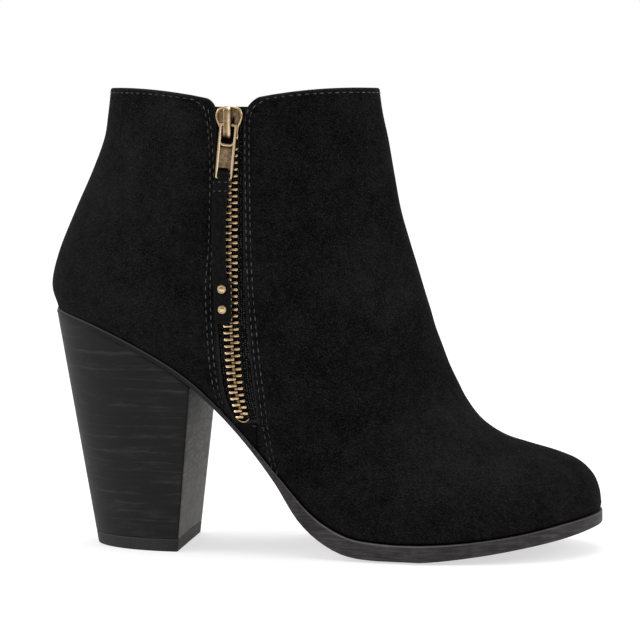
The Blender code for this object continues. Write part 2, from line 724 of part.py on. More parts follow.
def bridge_outline():
    """Side view of the bridge: two legs in the plate and a bar over the pull's axle."""
    inside_top, inside_foot = BRIDGE_TOP - BRIDGE_LEG, BRIDGE_FOOT + BRIDGE_LEG
    root, under = SLIDER_PLATE / 2, BRIDGE_HEIGHT - BRIDGE_BAR
    return [
        (BRIDGE_FOOT, root),
        (inside_foot, root),
        (inside_foot, under),
        (inside_top, under),
        (inside_top, root),
        (BRIDGE_TOP, root),
        (BRIDGE_TOP, BRIDGE_HEIGHT - BRIDGE_BAR),
        (BRIDGE_TOP - BRIDGE_BAR, BRIDGE_HEIGHT),
        (BRIDGE_FOOT + BRIDGE_BAR, BRIDGE_HEIGHT),
        (BRIDGE_FOOT, BRIDGE_HEIGHT - BRIDGE_BAR),
    ]


def make_zip_slider(side):
    frame = surface_frame(side, float(zip_edge("middle_x", SLIDER_Z)), SLIDER_Z, SLIDER_LIFT)
    points, faces = prism(slider_outline(), 0.0, SLIDER_PLATE)
    slider = make_object("zip_slider", placed(frame, points), faces, "aged_brass")
    points, faces = prism(bridge_outline(), -BRIDGE_HALF_WIDTH, BRIDGE_HALF_WIDTH)
    upright = [(aside, along, height) for along, height, aside in points]
    bridge = make_cutter("bridge_union", placed(frame, upright), faces)
    add_boolean(slider, bridge, "UNION")
    return slider


def pull_frame(side):
    """Frame of the pull at its axle, leaning back as it hangs."""
    x = float(zip_edge("middle_x", AXLE_Z))
    return surface_frame(side, x, AXLE_Z, AXLE_HEIGHT + SLIDER_LIFT, PULL_LEAN)


def make_zip_pull(frame):
    """The brass frame of the pull: bars across, arms along, and two windows."""
    inside = PULL_HALF_WIDTH - PULL_ARM
    asides = (-PULL_HALF_WIDTH, -inside, inside, PULL_HALF_WIDTH)
    half = PULL_THICKNESS / 2
    front = np.array([[(a, -row.start, half) for a in asides] for row in PULL])
    back = np.array([[(a, -row.start, -half) for a in asides] for row in PULL])
    filled = np.ones((len(PULL) - 1, 3), bool)
    filled[:, 1] = [row.solid_middle for row in PULL[:-1]]
    points, faces = slab_mesh(front, back, filled)
    return make_object("zip_pull", placed(frame, points), faces, "aged_brass")


class StrapPath:
    """The strap's line: in the pull's plane at first, then laid along the upper."""

    def __init__(self, side, frame):
        self.side, self.frame = side, frame
        self.start = PULL[-2].start

    def point(self, along, aside, lift):
        """Point at a length from the axle, aside towards the toe, lifted off the strap's back."""
        free = self.frame @ Vector((aside, -along, lift - STRAP[0].thickness / 2))
        laid_from = self.frame @ Vector((0.0, -self.start, 0.0))
        drop = max(along - self.start, 0.0)
        middle = laid_from.x + float(strap_value("aside", along))
        laid = self.side.point(middle + aside, laid_from.z - drop, STRAP_LIFT + lift)
        share = min(drop / STRAP_LAY_LENGTH, 1.0)
        return free.lerp(laid, share * share * (3 - 2 * share))


def strap_value(name, along):
    return np.interp(along, column(STRAP, "along"), column(STRAP, name))


def make_pull_strap(path):
    """Leather strip with rounded ends and a hole across it for the pull's lower bar."""
    rows = column(STRAP, "along")
    between = np.arange(rows[0], rows[-1], STRAP_STEP)
    lengths = np.unique(np.concatenate([rows, between]))
    shares = np.linspace(-1, 1, 4)

    def face(lift_share):
        return np.array([
            [
                path.point(l, strap_value("half_width", l) * a, strap_value("thickness", l) * lift_share)
                for a in shares
            ]
            for l in lengths
        ])

    strap = make_object("pull_strap", *slab_mesh(face(1.0), face(0.0)), "strap_leather")
    bar = (PULL[-2].start + PULL[-1].start) / 2
    half = LOOP_HOLE_LENGTH / 2
    outline = [(-bar - half, -half), (-bar + half, -half), (-bar + half, half), (-bar - half, half)]
    points, faces = prism(outline, -PULL_HALF_WIDTH, PULL_HALF_WIDTH)
    across = [(aside, along, height) for along, height, aside in points]
    hole = make_cutter("strap_hole_cutter", placed(path.frame, across), faces)
    add_boolean(strap, hole, "DIFFERENCE")
    return strap


def make_rivet(name, path, along):
    """A low domed rivet head, turned about its own axis."""
    outward = path.side.outward(*path.point(along, 0.0, 0.0).xz)
    seat = path.point(along, 0.0, float(strap_value("thickness", along)) + GAP)
    profile = [
        (0.0, 0.0, RIVET_HEIGHT),
        (0.45 * RIVET_RADIUS, 0.0, RIVET_HEIGHT),
        (0.85 * RIVET_RADIUS, 0.0, 0.7 * RIVET_HEIGHT),
        (RIVET_RADIUS, 0.0, 0.3 * RIVET_HEIGHT),
        (RIVET_RADIUS, 0.0, 0.0),
        (0.0, 0.0, 0.0),
    ]
    mesh = bpy.data.meshes.new(name)
    edges = [(i, i + 1) for i in range(len(profile) - 1)]
    mesh.from_pydata([Vector(point) * MM for point in profile], edges, [])
    mesh.materials.append(make_material("aged_brass"))
    rivet = bpy.data.objects.new(name, mesh)
    bpy.context.scene.collection.objects.link(rivet)
    rivet.location = seat * MM
    rivet.rotation_mode = "QUATERNION"
    rivet.rotation_quaternion = outward.to_track_quat("Z", "Y")
    turning = rivet.modifiers.new("turning", "SCREW")
    turning.steps = turning.render_steps = 12
    turning.use_merge_vertices = True
    turning.merge_threshold = 1e-6
    turning.use_smooth_shade = True
    return rivet


def stand_on_origin(objects):
    """Parents the objects to an empty that centres their footprint on the origin."""
    bpy.context.view_layer.update()
    graph = bpy.context.evaluated_depsgraph_get()
    corners = []
    for made in objects:
        evaluated = made.evaluated_get(graph)
        corners += [evaluated.matrix_world @ Vector(corner) for corner in evaluated.bound_box]
    low = Vector(map(min, *corners))
    high = Vector(map(max, *corners))
    stand = bpy.data.objects.new("boot_stand", None)
    bpy.context.scene.collection.objects.link(stand)
    for made in bpy.data.objects:
        if made is not stand:
            made.parent = stand
    stand.location = (-(low.x + high.x) / 2, -(low.y + high.y) / 2, -low.z)


def main():
    for old in list(bpy.data.objects):
        bpy.data.objects.remove(old)
    sheet = upper_sheet()
    side = OuterSide(sheet)
    zip_path = ZipPath(side, CHAIN_TOP)
    frame = pull_frame(side)
    strap_path = StrapPath(side, frame)
    pieces = [
        make_upper(sheet),
        make_outsole(),
        make_heel(),
        make_top_lift(),
        make_insole(),
        make_zip_tape(side),
        make_zip_chain(zip_path),
        make_zip_stop(zip_path),
        make_zip_slider(side),
        make_zip_pull(frame),
        make_pull_strap(strap_path),
    ]
    for name, along in zip(("rivet_upper", "rivet_lower"), RIVET_ALONG):
        pieces.append(make_rivet(name, strap_path, along))
    stand_on_origin(pieces)


main()
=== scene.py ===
"""Looks of the chunky heel ankle boot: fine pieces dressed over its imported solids.

Sizes are in millimetres in the shoe's own frame: x runs forward from the rearmost point
of the heel counter, y towards the inner side of the foot and z up from the floor. The
outer side of the foot, with the zip, is at negative y. Each piece is worked out there
and then moved to the part's frame, in metres.
"""

import json
import math
from collections import namedtuple
from functools import lru_cache

import bmesh
import bpy
import numpy as np
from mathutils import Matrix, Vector


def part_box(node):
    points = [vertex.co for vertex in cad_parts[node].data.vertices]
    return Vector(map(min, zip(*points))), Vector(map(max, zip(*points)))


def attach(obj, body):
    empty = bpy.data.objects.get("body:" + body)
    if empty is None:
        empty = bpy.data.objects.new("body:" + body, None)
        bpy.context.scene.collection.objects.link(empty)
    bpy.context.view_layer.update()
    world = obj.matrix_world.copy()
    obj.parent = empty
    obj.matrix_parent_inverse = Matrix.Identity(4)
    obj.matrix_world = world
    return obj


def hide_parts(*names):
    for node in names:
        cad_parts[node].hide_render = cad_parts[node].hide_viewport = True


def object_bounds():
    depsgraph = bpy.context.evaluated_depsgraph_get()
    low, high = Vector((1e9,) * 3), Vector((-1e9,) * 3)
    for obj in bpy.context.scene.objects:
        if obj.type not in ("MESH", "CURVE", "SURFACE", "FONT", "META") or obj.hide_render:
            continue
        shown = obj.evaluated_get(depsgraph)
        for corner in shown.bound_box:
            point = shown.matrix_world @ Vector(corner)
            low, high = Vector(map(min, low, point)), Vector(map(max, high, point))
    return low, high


bl_info = {
    "name": "Ankle Boot Looks",
    "version": (1, 0, 0),
    "blender": (4, 5, 0),
    "location": "View3D > Sidebar > Boot",
    "description": "Dresses the solids of a block heel ankle boot with suede, brass and stitches",
    "category": "Object",
}

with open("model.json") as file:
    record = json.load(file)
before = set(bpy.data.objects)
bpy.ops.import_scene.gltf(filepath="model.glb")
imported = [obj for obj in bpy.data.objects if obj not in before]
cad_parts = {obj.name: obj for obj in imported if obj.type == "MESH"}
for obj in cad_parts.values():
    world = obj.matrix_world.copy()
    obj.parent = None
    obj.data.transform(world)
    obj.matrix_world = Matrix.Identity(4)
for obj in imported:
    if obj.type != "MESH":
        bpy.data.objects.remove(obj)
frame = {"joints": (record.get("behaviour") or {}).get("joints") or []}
CAD_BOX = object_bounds()

MM = 0.001
MERGE_DISTANCE, SHARP_ANGLE = 2e-6, math.radians(50.0)
OUTER, INNER = -1, 1
LIFT_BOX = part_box("top_lift")
FOOTPRINT = np.array([CAD_BOX[0].x, (LIFT_BOX[0].y + LIFT_BOX[1].y) / 2, CAD_BOX[0].z])
PHOTO_SIZE = 640


def table(fields, *rows):
    """Rows of values, each with the named fields."""
    row_type = namedtuple("Row", fields)
    return [row_type(*row) for row in rows]


# Plan of the feather line, where the upper meets the sole
HEEL_END, HEEL_CENTRE, HEEL_HALF_WIDTH = 2.4, 40.0, 28.0
BALL_X, BALL_HALF_WIDTH, TOE_END = 150.0, 39.5, 216.5
NOSE_POWER = 2.2
PLAN = table(
    "x half_width",
    (HEEL_CENTRE, HEEL_HALF_WIDTH),
    (58.0, 27.2),
    (78.0, 24.8),
    (100.0, 27.5),
    (125.0, 35.0),
    (BALL_X, BALL_HALF_WIDTH),
)
AXIS = table(
    "x y",
    (0.0, 0.0),
    (HEEL_CENTRE, 0.0),
    (78.0, -1.8),
    (115.0, -0.8),
    (BALL_X, 0.5),
    (180.0, 2.8),
    (TOE_END, 7.5),
)

# Side view of the sole: height of the feather line and thickness of the outsole
SOLE = table(
    "x height thickness",
    (HEEL_END, 94.0, 2.0),
    (20.0, 88.9, 2.0),
    (HEEL_CENTRE, 79.8, 2.0),
    (60.0, 67.3, 1.8),
    (80.0, 47.4, 1.6),
    (95.0, 30.3, 2.7),
    (107.0, 17.4, 5.4),
    (120.0, 9.8, 6.9),
    (135.0, 7.4, 6.8),
    (BALL_X, 7.3, 6.6),
    (170.0, 8.6, 5.8),
    (190.0, 11.2, 5.4),
    (205.0, 13.9, 5.5),
    (TOE_END, 15.6, 4.8),
)
WELT_MARGIN, SEAT_MARGIN = 0.9, 0.1
TREAD_CROWN, TREAD_FLAT_SHARE = 0.7, 0.6
TOE_UNDERCUT = 0.7

# Sections of the upper from the toe to the heel seat, then up the shaft to the collar
FOOT = table(
    "top_x top_z sole_x belly rounding tuck ridge_y",
    (217.0, 18.4, TOE_END, 0.0, 0.95, 0.30, 7.5),
    (216.1, 24.0, 214.8, 2.0, 0.95, 0.20, 7.5),
    (213.6, 29.6, 210.0, 3.0, 0.95, 0.15, 7.3),
    (208.0, 34.9, 201.5, 4.0, 0.95, 0.12, 6.8),
    (199.5, 38.5, 190.0, 5.0, 0.95, 0.12, 6.0),
    (188.5, 41.7, 175.0, 6.0, 0.95, 0.12, 5.0),
    (179.0, 44.9, 160.0, 7.0, 0.93, 0.12, 4.2),
    (170.6, 50.6, 143.0, 8.0, 0.90, 0.12, 3.6),
    (164.7, 58.2, 124.0, 11.0, 0.85, 0.14, 3.0),
    (161.0, 65.4, 104.0, 14.0, 0.75, 0.18, 2.4),
    (157.6, 72.6, 83.0, 17.0, 0.62, 0.22, 2.0),
    (154.8, 80.0, 62.0, 14.8, 0.52, 0.23, 1.6),
    (152.2, 87.0, 42.0, 12.2, 0.48, 0.21, 1.3),
    (150.3, 93.6, 22.0, 17.0, 0.46, 0.22, 1.0),
    (148.0, 101.0, HEEL_END, 30.5, 0.45, 0.26, 0.8),
)
SHAFT = table(
    "top_x top_z back_x back_z belly rounding tuck ridge_y",
    (145.3, 110.0, 0.0, 103.0, 30.5, 0.45, 0.30, 0.6),
    (142.2, 120.0, 2.9, 116.0, 30.0, 0.46, 0.36, 0.4),
    (138.6, 132.6, 9.9, 133.0, 29.0, 0.48, 0.45, 0.2),
    (136.0, 146.5, 16.2, 147.0, 28.5, 0.50, 0.50, 0.0),
    (133.6, 160.0, 21.2, 160.0, 28.5, 0.50, 0.50, 0.0),
    (131.4, 170.0, 22.9, 170.0, 28.5, 0.50, 0.50, 0.0),
    (129.9, 180.0, 24.1, 180.0, 28.5, 0.50, 0.50, 0.0),
)
BALL_ROW = 7
CORNER = len(FOOT) - 1
COLLAR = CORNER + len(SHAFT)
COLLAR_Z = SHAFT[-1].top_z

# The collar dips to both sides, the outer one at the zip, and is level at front and back
COLLAR_FRONT, COLLAR_BACK = SHAFT[-1].top_x, SHAFT[-1].back_x
Dip = namedtuple("Dip", "x depth reach flatness power")
DIPS = {
    OUTER: Dip(76.0, 6.2, 50.0, 1.0, 2.0),
    INNER: Dip((COLLAR_FRONT + COLLAR_BACK) / 2, 8.5, (COLLAR_FRONT - COLLAR_BACK) / 2, 2.0, 0.75),
}
DIP_FROM_ROW = COLLAR - 3

# Zip: its middle line and the edges of its opening, in the side view
ZIP = table(
    "z middle_x rear_x front_x",
    (51.0, 81.0, 79.4, 86.6),
    (55.0, 80.2, 76.6, 86.4),
    (61.0, 79.0, 74.4, 85.9),
    (73.0, 77.7, 72.6, 84.4),
    (87.0, 76.6, 71.6, 82.9),
    (110.0, 76.3, 70.9, 81.6),
    (150.0, 76.0, 71.2, 81.1),
    (186.0, 76.0, 70.4, 81.1),
)
Mouth = namedtuple("Mouth", "z reach rise")
MOUTHS = {"rear_x": Mouth(170.6, -5.2, 5.5), "front_x": Mouth(166.0, 9.0, 10.8)}
TAPE_TOP, TAPE_OVERLAP, TAPE_SOLE_CLEARANCE = 172.6, 6.0, 6.0
CHAIN_TOP, CHAIN_FOOT, TOOTH_PITCH = 166.0, 52.3, 2.55

# Stitch lines beside the opening: how far each lies from its edge, by height
STITCH_LINES = table(
    "z rear_near rear_far front_near front_far",
    (30.0, 1.5, 3.2, 6.4, 8.0),
    (41.0, 1.6, 3.3, 4.1, 5.8),
    (51.0, 1.8, 3.5, 2.5, 4.2),
    (61.0, 1.9, 3.7, 2.1, 3.9),
    (73.0, 2.2, 4.0, 1.9, 3.7),
    (87.0, 2.5, 4.3, 1.8, 3.6),
    (104.0, 2.3, 4.1, 1.5, 3.2),
    (118.0, 1.5, 2.9, 1.3, 3.0),
    (126.0, 1.3, 2.7, 1.2, 2.8),
    (150.0, 1.4, 2.8, 0.8, 2.4),
    (160.0, 1.8, 3.1, 0.8, 2.4),
    (166.0, 2.2, 3.5, 0.9, 2.5),
    (172.0, 3.1, 4.5, 1.0, 2.6),
    (180.0, 3.1, 4.5, 1.0, 2.6),
)
COLLAR_STITCH, ROW_TURN, NEAR_ROW_GAP = 2.0, 1.2, 1.4
FOOT_TACK = ((83.8, 50.9), (91.0, 50.0))
DARKENED_STITCH_TOP, DARKENED_STITCH_FADE = 68.0, 14.0

# One stitch: the thread's thickness along it, as shares, and how it rises and sinks
STITCH = table(
    "along thickness",
    (-1.0, 0.0),
    (-0.85, 0.6),
    (-0.4, 0.95),
    (0.0, 1.0),
    (0.4, 0.95),
    (0.85, 0.6),
    (1.0, 0.0),
)
STITCH_RISE, STITCH_SINK, STITCH_SIDES = 0.26, 0.16, 6

# Relief of the suede, and the guard below the zip with the seam in front of it
Channel = namedtuple("Channel", "depth width")
STITCH_CHANNEL, SEAM_CHANNEL = Channel(0.20, 0.45), Channel(0.6, 0.5)
FOLD_PAD, FOLD_PAD_FROM_EDGE, FOLD_PAD_WIDTH = 0.10, 1.5, 0.9
GUARD_REAR, GUARD_SEAM = 74.0, -0.2

# Soft creases in the side view, from one point to another, with their width and depth
CREASES = table(
    "x0 z0 x1 z1 width depth",
    (141.0, 116.0, 110.0, 106.0, 7.0, 0.45),
    (150.0, 92.0, 116.0, 84.0, 8.0, 0.40),
    (168.0, 54.0, 148.0, 26.0, 6.0, 0.30),
    (12.0, 133.0, 52.0, 126.0, 6.0, 0.35),
    (26.0, 152.0, 58.0, 146.0, 8.0, 0.30),
    (112.0, 60.0, 132.0, 34.0, 9.0, 0.35),
)

# Heel block and its top lift
BREAST_FOOT_X, BREAST_LEAN = 54.1, 0.085
HEEL_FOOT_BACK, HEEL_FOOT_HALF_WIDTH = 17.9, 23.4
TOP_LIFT_HEIGHT, HEEL_INSET, SEAT_GAP = 5.0, 0.15, 0.05
HEEL_BACK_LEAN, LAYER_HEIGHT = 0.159, 3.7
SEAT_SLANT, FOOT_SLANT, SLANT_REACH = 1.2, 0.35, 15.0

# Slider and bridge, drawn upright about the middle of the slider's head
SLIDER_Z, SLIDER_LIFT = 167.0, 0.15
SLIDER_OUTLINE = table(
    "height half_width",
    (5.7, 0.0),
    (5.55, 2.4),
    (4.9, 4.2),
    (3.2, 5.1),
    (1.4, 5.15),
    (-0.6, 4.5),
    (-2.4, 3.7),
    (-4.2, 3.45),
    (-6.6, 3.4),
    (-7.4, 2.9),
    (-7.6, 0.0),
)
BRIDGE = table(
    "along height",
    (5.3, 0.3),
    (5.25, 2.2),
    (4.6, 3.1),
    (3.2, 3.4),
    (-4.4, 3.3),
    (-5.6, 3.0),
    (-6.0, 2.2),
    (-6.0, 0.3),
)

# Pull tab, by the length down from its axle
PULL_HALF_WIDTH, PULL_ARM, PULL_THICKNESS = 3.4, 1.0, 1.1
PULL_CROSSBAR, PULL_PLATE_END, PULL_BAR, PULL_END = 7.6, 16.3, 20.2, 21.0

# Leather strap on the pull, by the length down from the axle
STRAP = table(
    "along half_width thickness aside",
    (16.9, 2.1, 0.5, 0.0),
    (17.6, 2.1, 1.2, 0.0),
    (18.6, 2.1, 2.3, 0.0),
    (22.0, 2.1, 2.3, -0.3),
    (23.2, 3.0, 2.1, -1.3),
    (40.0, 2.6, 1.9, -1.9),
    (59.8, 2.7, 1.9, -1.4),
    (60.8, 3.3, 2.1, -0.3),
    (74.2, 3.3, 2.1, -0.1),
    (76.0, 1.9, 1.9, 0.0),
)
STRAP_LIFT, STRAP_LAY_LENGTH, STRAP_FREE_THICKNESS, STRAP_LAID_FROM = 0.7, 6.0, 1.6, 20.4
STRAP_STITCH_ALONG = (21.7, 25.2)
STRAP_BODY_FULL, STRAP_BODY_END, STRAP_TAB_START = 59.0, 60.5, 59.6
RIVET_ALONG, RIVET_SEAT, RIVET_SIDES = (62.4, 70.0), 0.15, 32


# Curves and grids

def column(rows, name):
    """One named column of a table as an array."""
    return np.array([getattr(row, name) for row in rows], float)


def smooth_curve(at, places, values):
    """Cubic through the values, each piece blended from its two ends and their slopes."""
    at, places, values = np.asarray(at, float), np.asarray(places), np.asarray(values)
    slopes = np.gradient(values, places)
    i = np.clip(np.searchsorted(places, at, side="right") - 1, 0, len(places) - 2)
    span = places[i + 1] - places[i]
    t = (at - places[i]) / span
    rise = (3 - 2 * t) * t * t
    start = span * slopes[i] * t * (1 - t) ** 2
    end = span * slopes[i + 1] * t * t * (t - 1)
    return values[i] * (1 - rise) + values[i + 1] * rise + start + end


def read_table(rows, places, name, at):
    """One column of a table as a smooth curve over another column."""
    return smooth_curve(at, column(rows, places), column(rows, name))


def smooth_step(value, low, high):
    """Rise from 0 at low to 1 at high, level at both: 3t^2 - 2t^3 of the share between."""
    t = np.clip((value - low) / (high - low), 0, 1)
    return t * t * (3 - 2 * t)


def bell(distance, width):
    """Soft bump of height 1: e to the power of minus the squared share of the width."""
    return np.exp(-((distance / width) ** 2))


def edge_roll(distance, radius):
    """Fall of a rounded edge: a quarter circle of the radius, counted from its top."""
    inside = radius - np.clip(distance, 0, radius)
    return radius - np.sqrt(radius**2 - inside**2)


def unit(vectors):
    """Vectors drawn to length 1: each over its own length."""
    return vectors / np.linalg.norm(vectors, axis=-1, keepdims=True)


def grid_quads(rows, columns, wrap=False):
    """Corner indices of a grid's quads; wrap joins the last column to the first."""
    index = np.arange(rows * columns).reshape(rows, columns)
    if wrap:
        index = np.concatenate([index, index[:, :1]], axis=1)
    corners = (index[:-1, :-1], index[:-1, 1:], index[1:, 1:], index[1:, :-1])
    return np.stack(corners, axis=-1).reshape(-1, 4)


def joined(*parts):
    """Several (points, quads) parts as one."""
    points, quads, count = [], [], 0
    for part_points, part_quads in parts:
        flat = np.asarray(part_points).reshape(-1, 3)
        points.append(flat)
        quads.append(part_quads + count)
        count += len(flat)
    return np.concatenate(points), np.concatenate(quads)


def repeated(shapes):
    """Points and quads of many like shapes, each a grid that closes round on itself."""
    count, rows, columns = shapes.shape[:3]
    quads = grid_quads(rows, columns, wrap=True)
    steps = np.arange(count)[:, None, None] * rows * columns
    return shapes.reshape(-1, 3), (quads[None] + steps).reshape(-1, 4)


def slab(outer, inner, filled, closed_start, closed_sides):
    """Closed slab between two grids. Both skins cover the filled cells, and a wall stands
    along each edge between a filled and an empty cell. closed_start says that the first
    row meets itself, closed_sides which rows of cells meet across the first and last column."""
    rows, columns = outer.shape[:2]
    index = np.arange(rows * columns).reshape(rows, columns)
    a, b, c, d = index[:-1, :-1], index[:-1, 1:], index[1:, 1:], index[1:, :-1]
    under = rows * columns
    top = np.stack([a, b, c, d], axis=-1)[filled]
    around = np.pad(filled, 1)
    around[0, 1:-1] = closed_start
    around[1:-1, 0] = around[1:-1, -1] = closed_sides
    walls = []
    for p, q, row, col in ((a, b, 0, 1), (b, c, 1, 2), (c, d, 2, 1), (d, a, 1, 0)):
        bare = filled & ~around[row : row + rows - 1, col : col + columns - 1]
        walls.append(np.stack([p[bare], p[bare] + under, q[bare] + under, q[bare]], axis=-1))
    points = np.concatenate([outer.reshape(-1, 3), inner.reshape(-1, 3)])
    return points, np.concatenate([top, top[:, ::-1] + under, *walls])


def full_turn(sides):
    """Even angles once round a circle."""
    return np.arange(sides) / sides * 2 * math.pi


def signed_power(values, power):
    """The size of each value to a power, with the value's sign."""
    return np.sign(values) * np.abs(values) ** power


def loop_section(sides, power):
    """Superellipse of half-width and half-height 1: cosine and sine to 2 over the power."""
    turn = full_turn(sides)
    return signed_power(np.cos(turn), 2 / power), signed_power(np.sin(turn), 2 / power)


def with_ends(rows):
    """Rows of an array, the first and the last of them twice."""
    return np.concatenate([rows[:1], rows, rows[-1:]])


def sweep(path, across, out, half_width, half_height, sides, power):
    """Closed skin of superellipse sections carried along a path, closed to its end points."""
    wide, high = (section[:, None] for section in loop_section(sides, power))
    size_wide, size_high = (np.pad(size, 1)[:, None, None] for size in (half_width, half_height))
    middle, across, out = (with_ends(rows)[:, None, :] for rows in (path, across, out))
    points = middle + across * size_wide * wide + out * size_high * high
    return points, grid_quads(len(path) + 2, sides, wrap=True)


def turned(radii, heights, sides):
    """Profile of radii and heights turned round the third axis."""
    turn = full_turn(sides)
    ring = np.stack([np.cos(turn), np.sin(turn)], axis=-1)
    flat = np.asarray(radii)[:, None, None] * ring[None]
    tall = np.broadcast_to(np.asarray(heights)[:, None, None], (*flat.shape[:2], 1))
    return np.concatenate([flat, tall], axis=-1), grid_quads(len(radii), sides, wrap=True)


def lengths_along(path):
    """Length of a polyline up to each of its points: the running sum of its steps."""
    steps = np.linalg.norm(np.diff(path, axis=0), axis=1)
    return np.concatenate([[0.0], np.cumsum(steps)])


def by_length(path, lengths, vectors=None):
    """Points of a polyline at lengths along it, or vectors that belong to its points."""
    at, rows = lengths_along(path), path if vectors is None else vectors
    return np.stack([np.interp(lengths, at, rows[:, i]) for i in range(3)], axis=-1)


# The shoe's own forms

def nose(share):
    """Half-width share of a round end: root of 1 minus the share to the nose's power."""
    return np.sqrt(np.clip(1 - np.clip(share, 0, 1) ** NOSE_POWER, 0, 1))


def half_width(x, toe_grow=0.0, heel_grow=0.0):
    """Half-width of the plan at x: a round heel, a fitted middle and a round toe."""
    x = np.asarray(x, float)
    heel_reach = HEEL_CENTRE - HEEL_END + heel_grow
    toe_reach = TOE_END - BALL_X + toe_grow
    heel = (HEEL_HALF_WIDTH + heel_grow) * nose((HEEL_CENTRE - x) / heel_reach)
    toe = (BALL_HALF_WIDTH + toe_grow) * nose((x - BALL_X) / toe_reach)
    inside = np.clip(x, HEEL_CENTRE, BALL_X)
    grown = np.interp(inside, (HEEL_CENTRE, BALL_X), (heel_grow, toe_grow))
    middle = read_table(PLAN, "x", "half_width", inside) + grown
    return np.where(x < HEEL_CENTRE, heel, np.where(x > BALL_X, toe, middle))


def axis_y(x):
    """Sideways place of the foot's axis at x."""
    return read_table(AXIS, "x", "y", np.clip(x, 0.0, TOE_END))


def sole_height(x):
    """Height of the feather line at x."""
    return read_table(SOLE, "x", "height", x)


def sole_normal(x):
    """Unit vector down from the sole's line in the side view, from its slope."""
    slope = sole_height(x + 0.5) - sole_height(x - 0.5)
    length = np.hypot(slope, 1.0)
    return slope / length, -1.0 / length


def upper_sections(place):
    """The upper's section data at places along the fan, 0 at the toe and COLLAR on top."""
    place = np.asarray(place, float)
    rows = FOOT + SHAFT
    index = np.arange(len(rows))
    data = {
        name: smooth_curve(place, index, column(rows, name))
        for name in ("top_x", "top_z", "belly", "rounding", "tuck", "ridge_y")
    }
    foot_x = smooth_curve(np.minimum(place, CORNER), index[: CORNER + 1], column(FOOT, "sole_x"))
    back = np.maximum(place, CORNER)
    back_x = smooth_curve(back, index[CORNER:], [HEEL_END, *column(SHAFT, "back_x")])
    heel_z = float(sole_height(HEEL_END))
    back_z = smooth_curve(back, index[CORNER:], [heel_z, *column(SHAFT, "back_z")])
    on_sole = place <= CORNER
    data["end_x"] = np.where(on_sole, foot_x, back_x)
    data["end_z"] = np.where(on_sole, sole_height(foot_x), back_z)
    data["middle"] = np.where(on_sole, axis_y(foot_x), 0.0)
    width = np.where(on_sole, half_width(foot_x), 0.0)
    row_widths = [*half_width(column(FOOT, "sole_x")), *np.zeros(len(SHAFT))]
    full = smooth_curve(place, index, np.hypot(row_widths, column(rows, "belly")))
    data["full"] = np.where(place < BALL_ROW, np.hypot(width, data["belly"]), full)
    data["belly"] = np.sqrt(np.clip(data["full"] ** 2 - width**2, 0, None))
    return data


def full_dip(x, inward):
    """How far the collar's edge sinks at x: the depth times a falling power of the share."""
    dip = DIPS[inward]
    away = np.clip(np.abs(x - dip.x) / dip.reach, 0, 1)
    return dip.depth * (1 - away**dip.flatness) ** dip.power


def share_to_along(share):
    """Way along a section's side view: half of 1 minus the cosine of the share of pi."""
    return (1 - np.cos(math.pi * share)) / 2


def along_to_share(along):
    """The share that goes with a way along: the arc cosine of 1 minus twice the way."""
    return np.arccos(1 - 2 * np.clip(along, 0, 1)) / math.pi


def upper_points(place, share, inward):
    """Points of one side of the upper. Each row of shares belongs to one place and runs
    from 0 at the ridge to 1 at the feather or the back. The side view runs straight from
    the ridge to the end; the half-width rises as a round crown, holds, and tucks in by a
    circle's root towards the end. The collar's dip fades in over the top rows."""
    data = {name: value[:, None] for name, value in upper_sections(place).items()}
    along = share_to_along(share)
    crown = np.sqrt(1 - (1 - np.clip(along / data["rounding"], 0, 1)) ** 2)
    tucked = np.clip((along - 1) / data["tuck"] + 1, 0, 1)
    side = crown * np.sqrt(np.clip(data["full"] ** 2 - (tucked * data["belly"]) ** 2, 0, None))
    x = data["top_x"] + (data["end_x"] - data["top_x"]) * along
    z = data["top_z"] + (data["end_z"] - data["top_z"]) * along
    y = data["ridge_y"] * (1 - crown) + data["middle"] * crown + inward * side
    fade = np.clip((np.asarray(place, float)[:, None] - DIP_FROM_ROW) / (COLLAR - DIP_FROM_ROW), 0, 1)
    return np.stack([x, y, z - full_dip(x, inward) * fade], axis=-1)


def zip_line(name, z):
    """A line of the zip's table at a height, as x; it stands still beyond the table."""
    return read_table(ZIP, "z", name, np.clip(z, ZIP[0].z, ZIP[-1].z))


def opening_edge(name, z):
    """Edge of the zip opening at a height, with its quarter-ellipse flare at the mouth."""
    mouth = MOUTHS[name]
    climb = np.clip((z - mouth.z) / mouth.rise, 0, 1)
    return zip_line(name, z) + mouth.reach * (1 - np.sqrt(1 - climb**2))


def stitch_line(name, z):
    """Stitch line beside the opening: its edge, moved away by the table's distance."""
    away = np.interp(z, column(STITCH_LINES, "z"), column(STITCH_LINES, name))
    if name.startswith("front"):
        return opening_edge("front_x", z) + away
    return opening_edge("rear_x", z) - away


HALVINGS = 32


def crossing_share(place, line):
    """Share at which each section of the outer side crosses a line x(z), by halving."""
    low, high = np.zeros(len(place)), np.ones(len(place))
    for _ in range(HALVINGS):
        middle = (low + high) / 2
        point = upper_points(place, middle[:, None], OUTER)[:, 0]
        ahead = point[:, 0] > line(point[:, 2])
        low, high = np.where(ahead, middle, low), np.where(ahead, high, middle)
    return (low + high) / 2


def slot_foot_place():
    """Place of the section that crosses the zip's middle line at the opening's foot."""
    places = np.linspace(CORNER - 4, CORNER - 1, 120)
    share = crossing_share(places, lambda z: zip_line("middle_x", z))
    heights = upper_points(places, share[:, None], OUTER)[:, 0, 2]
    return float(np.interp(ZIP[0].z + 0.6, heights, places))


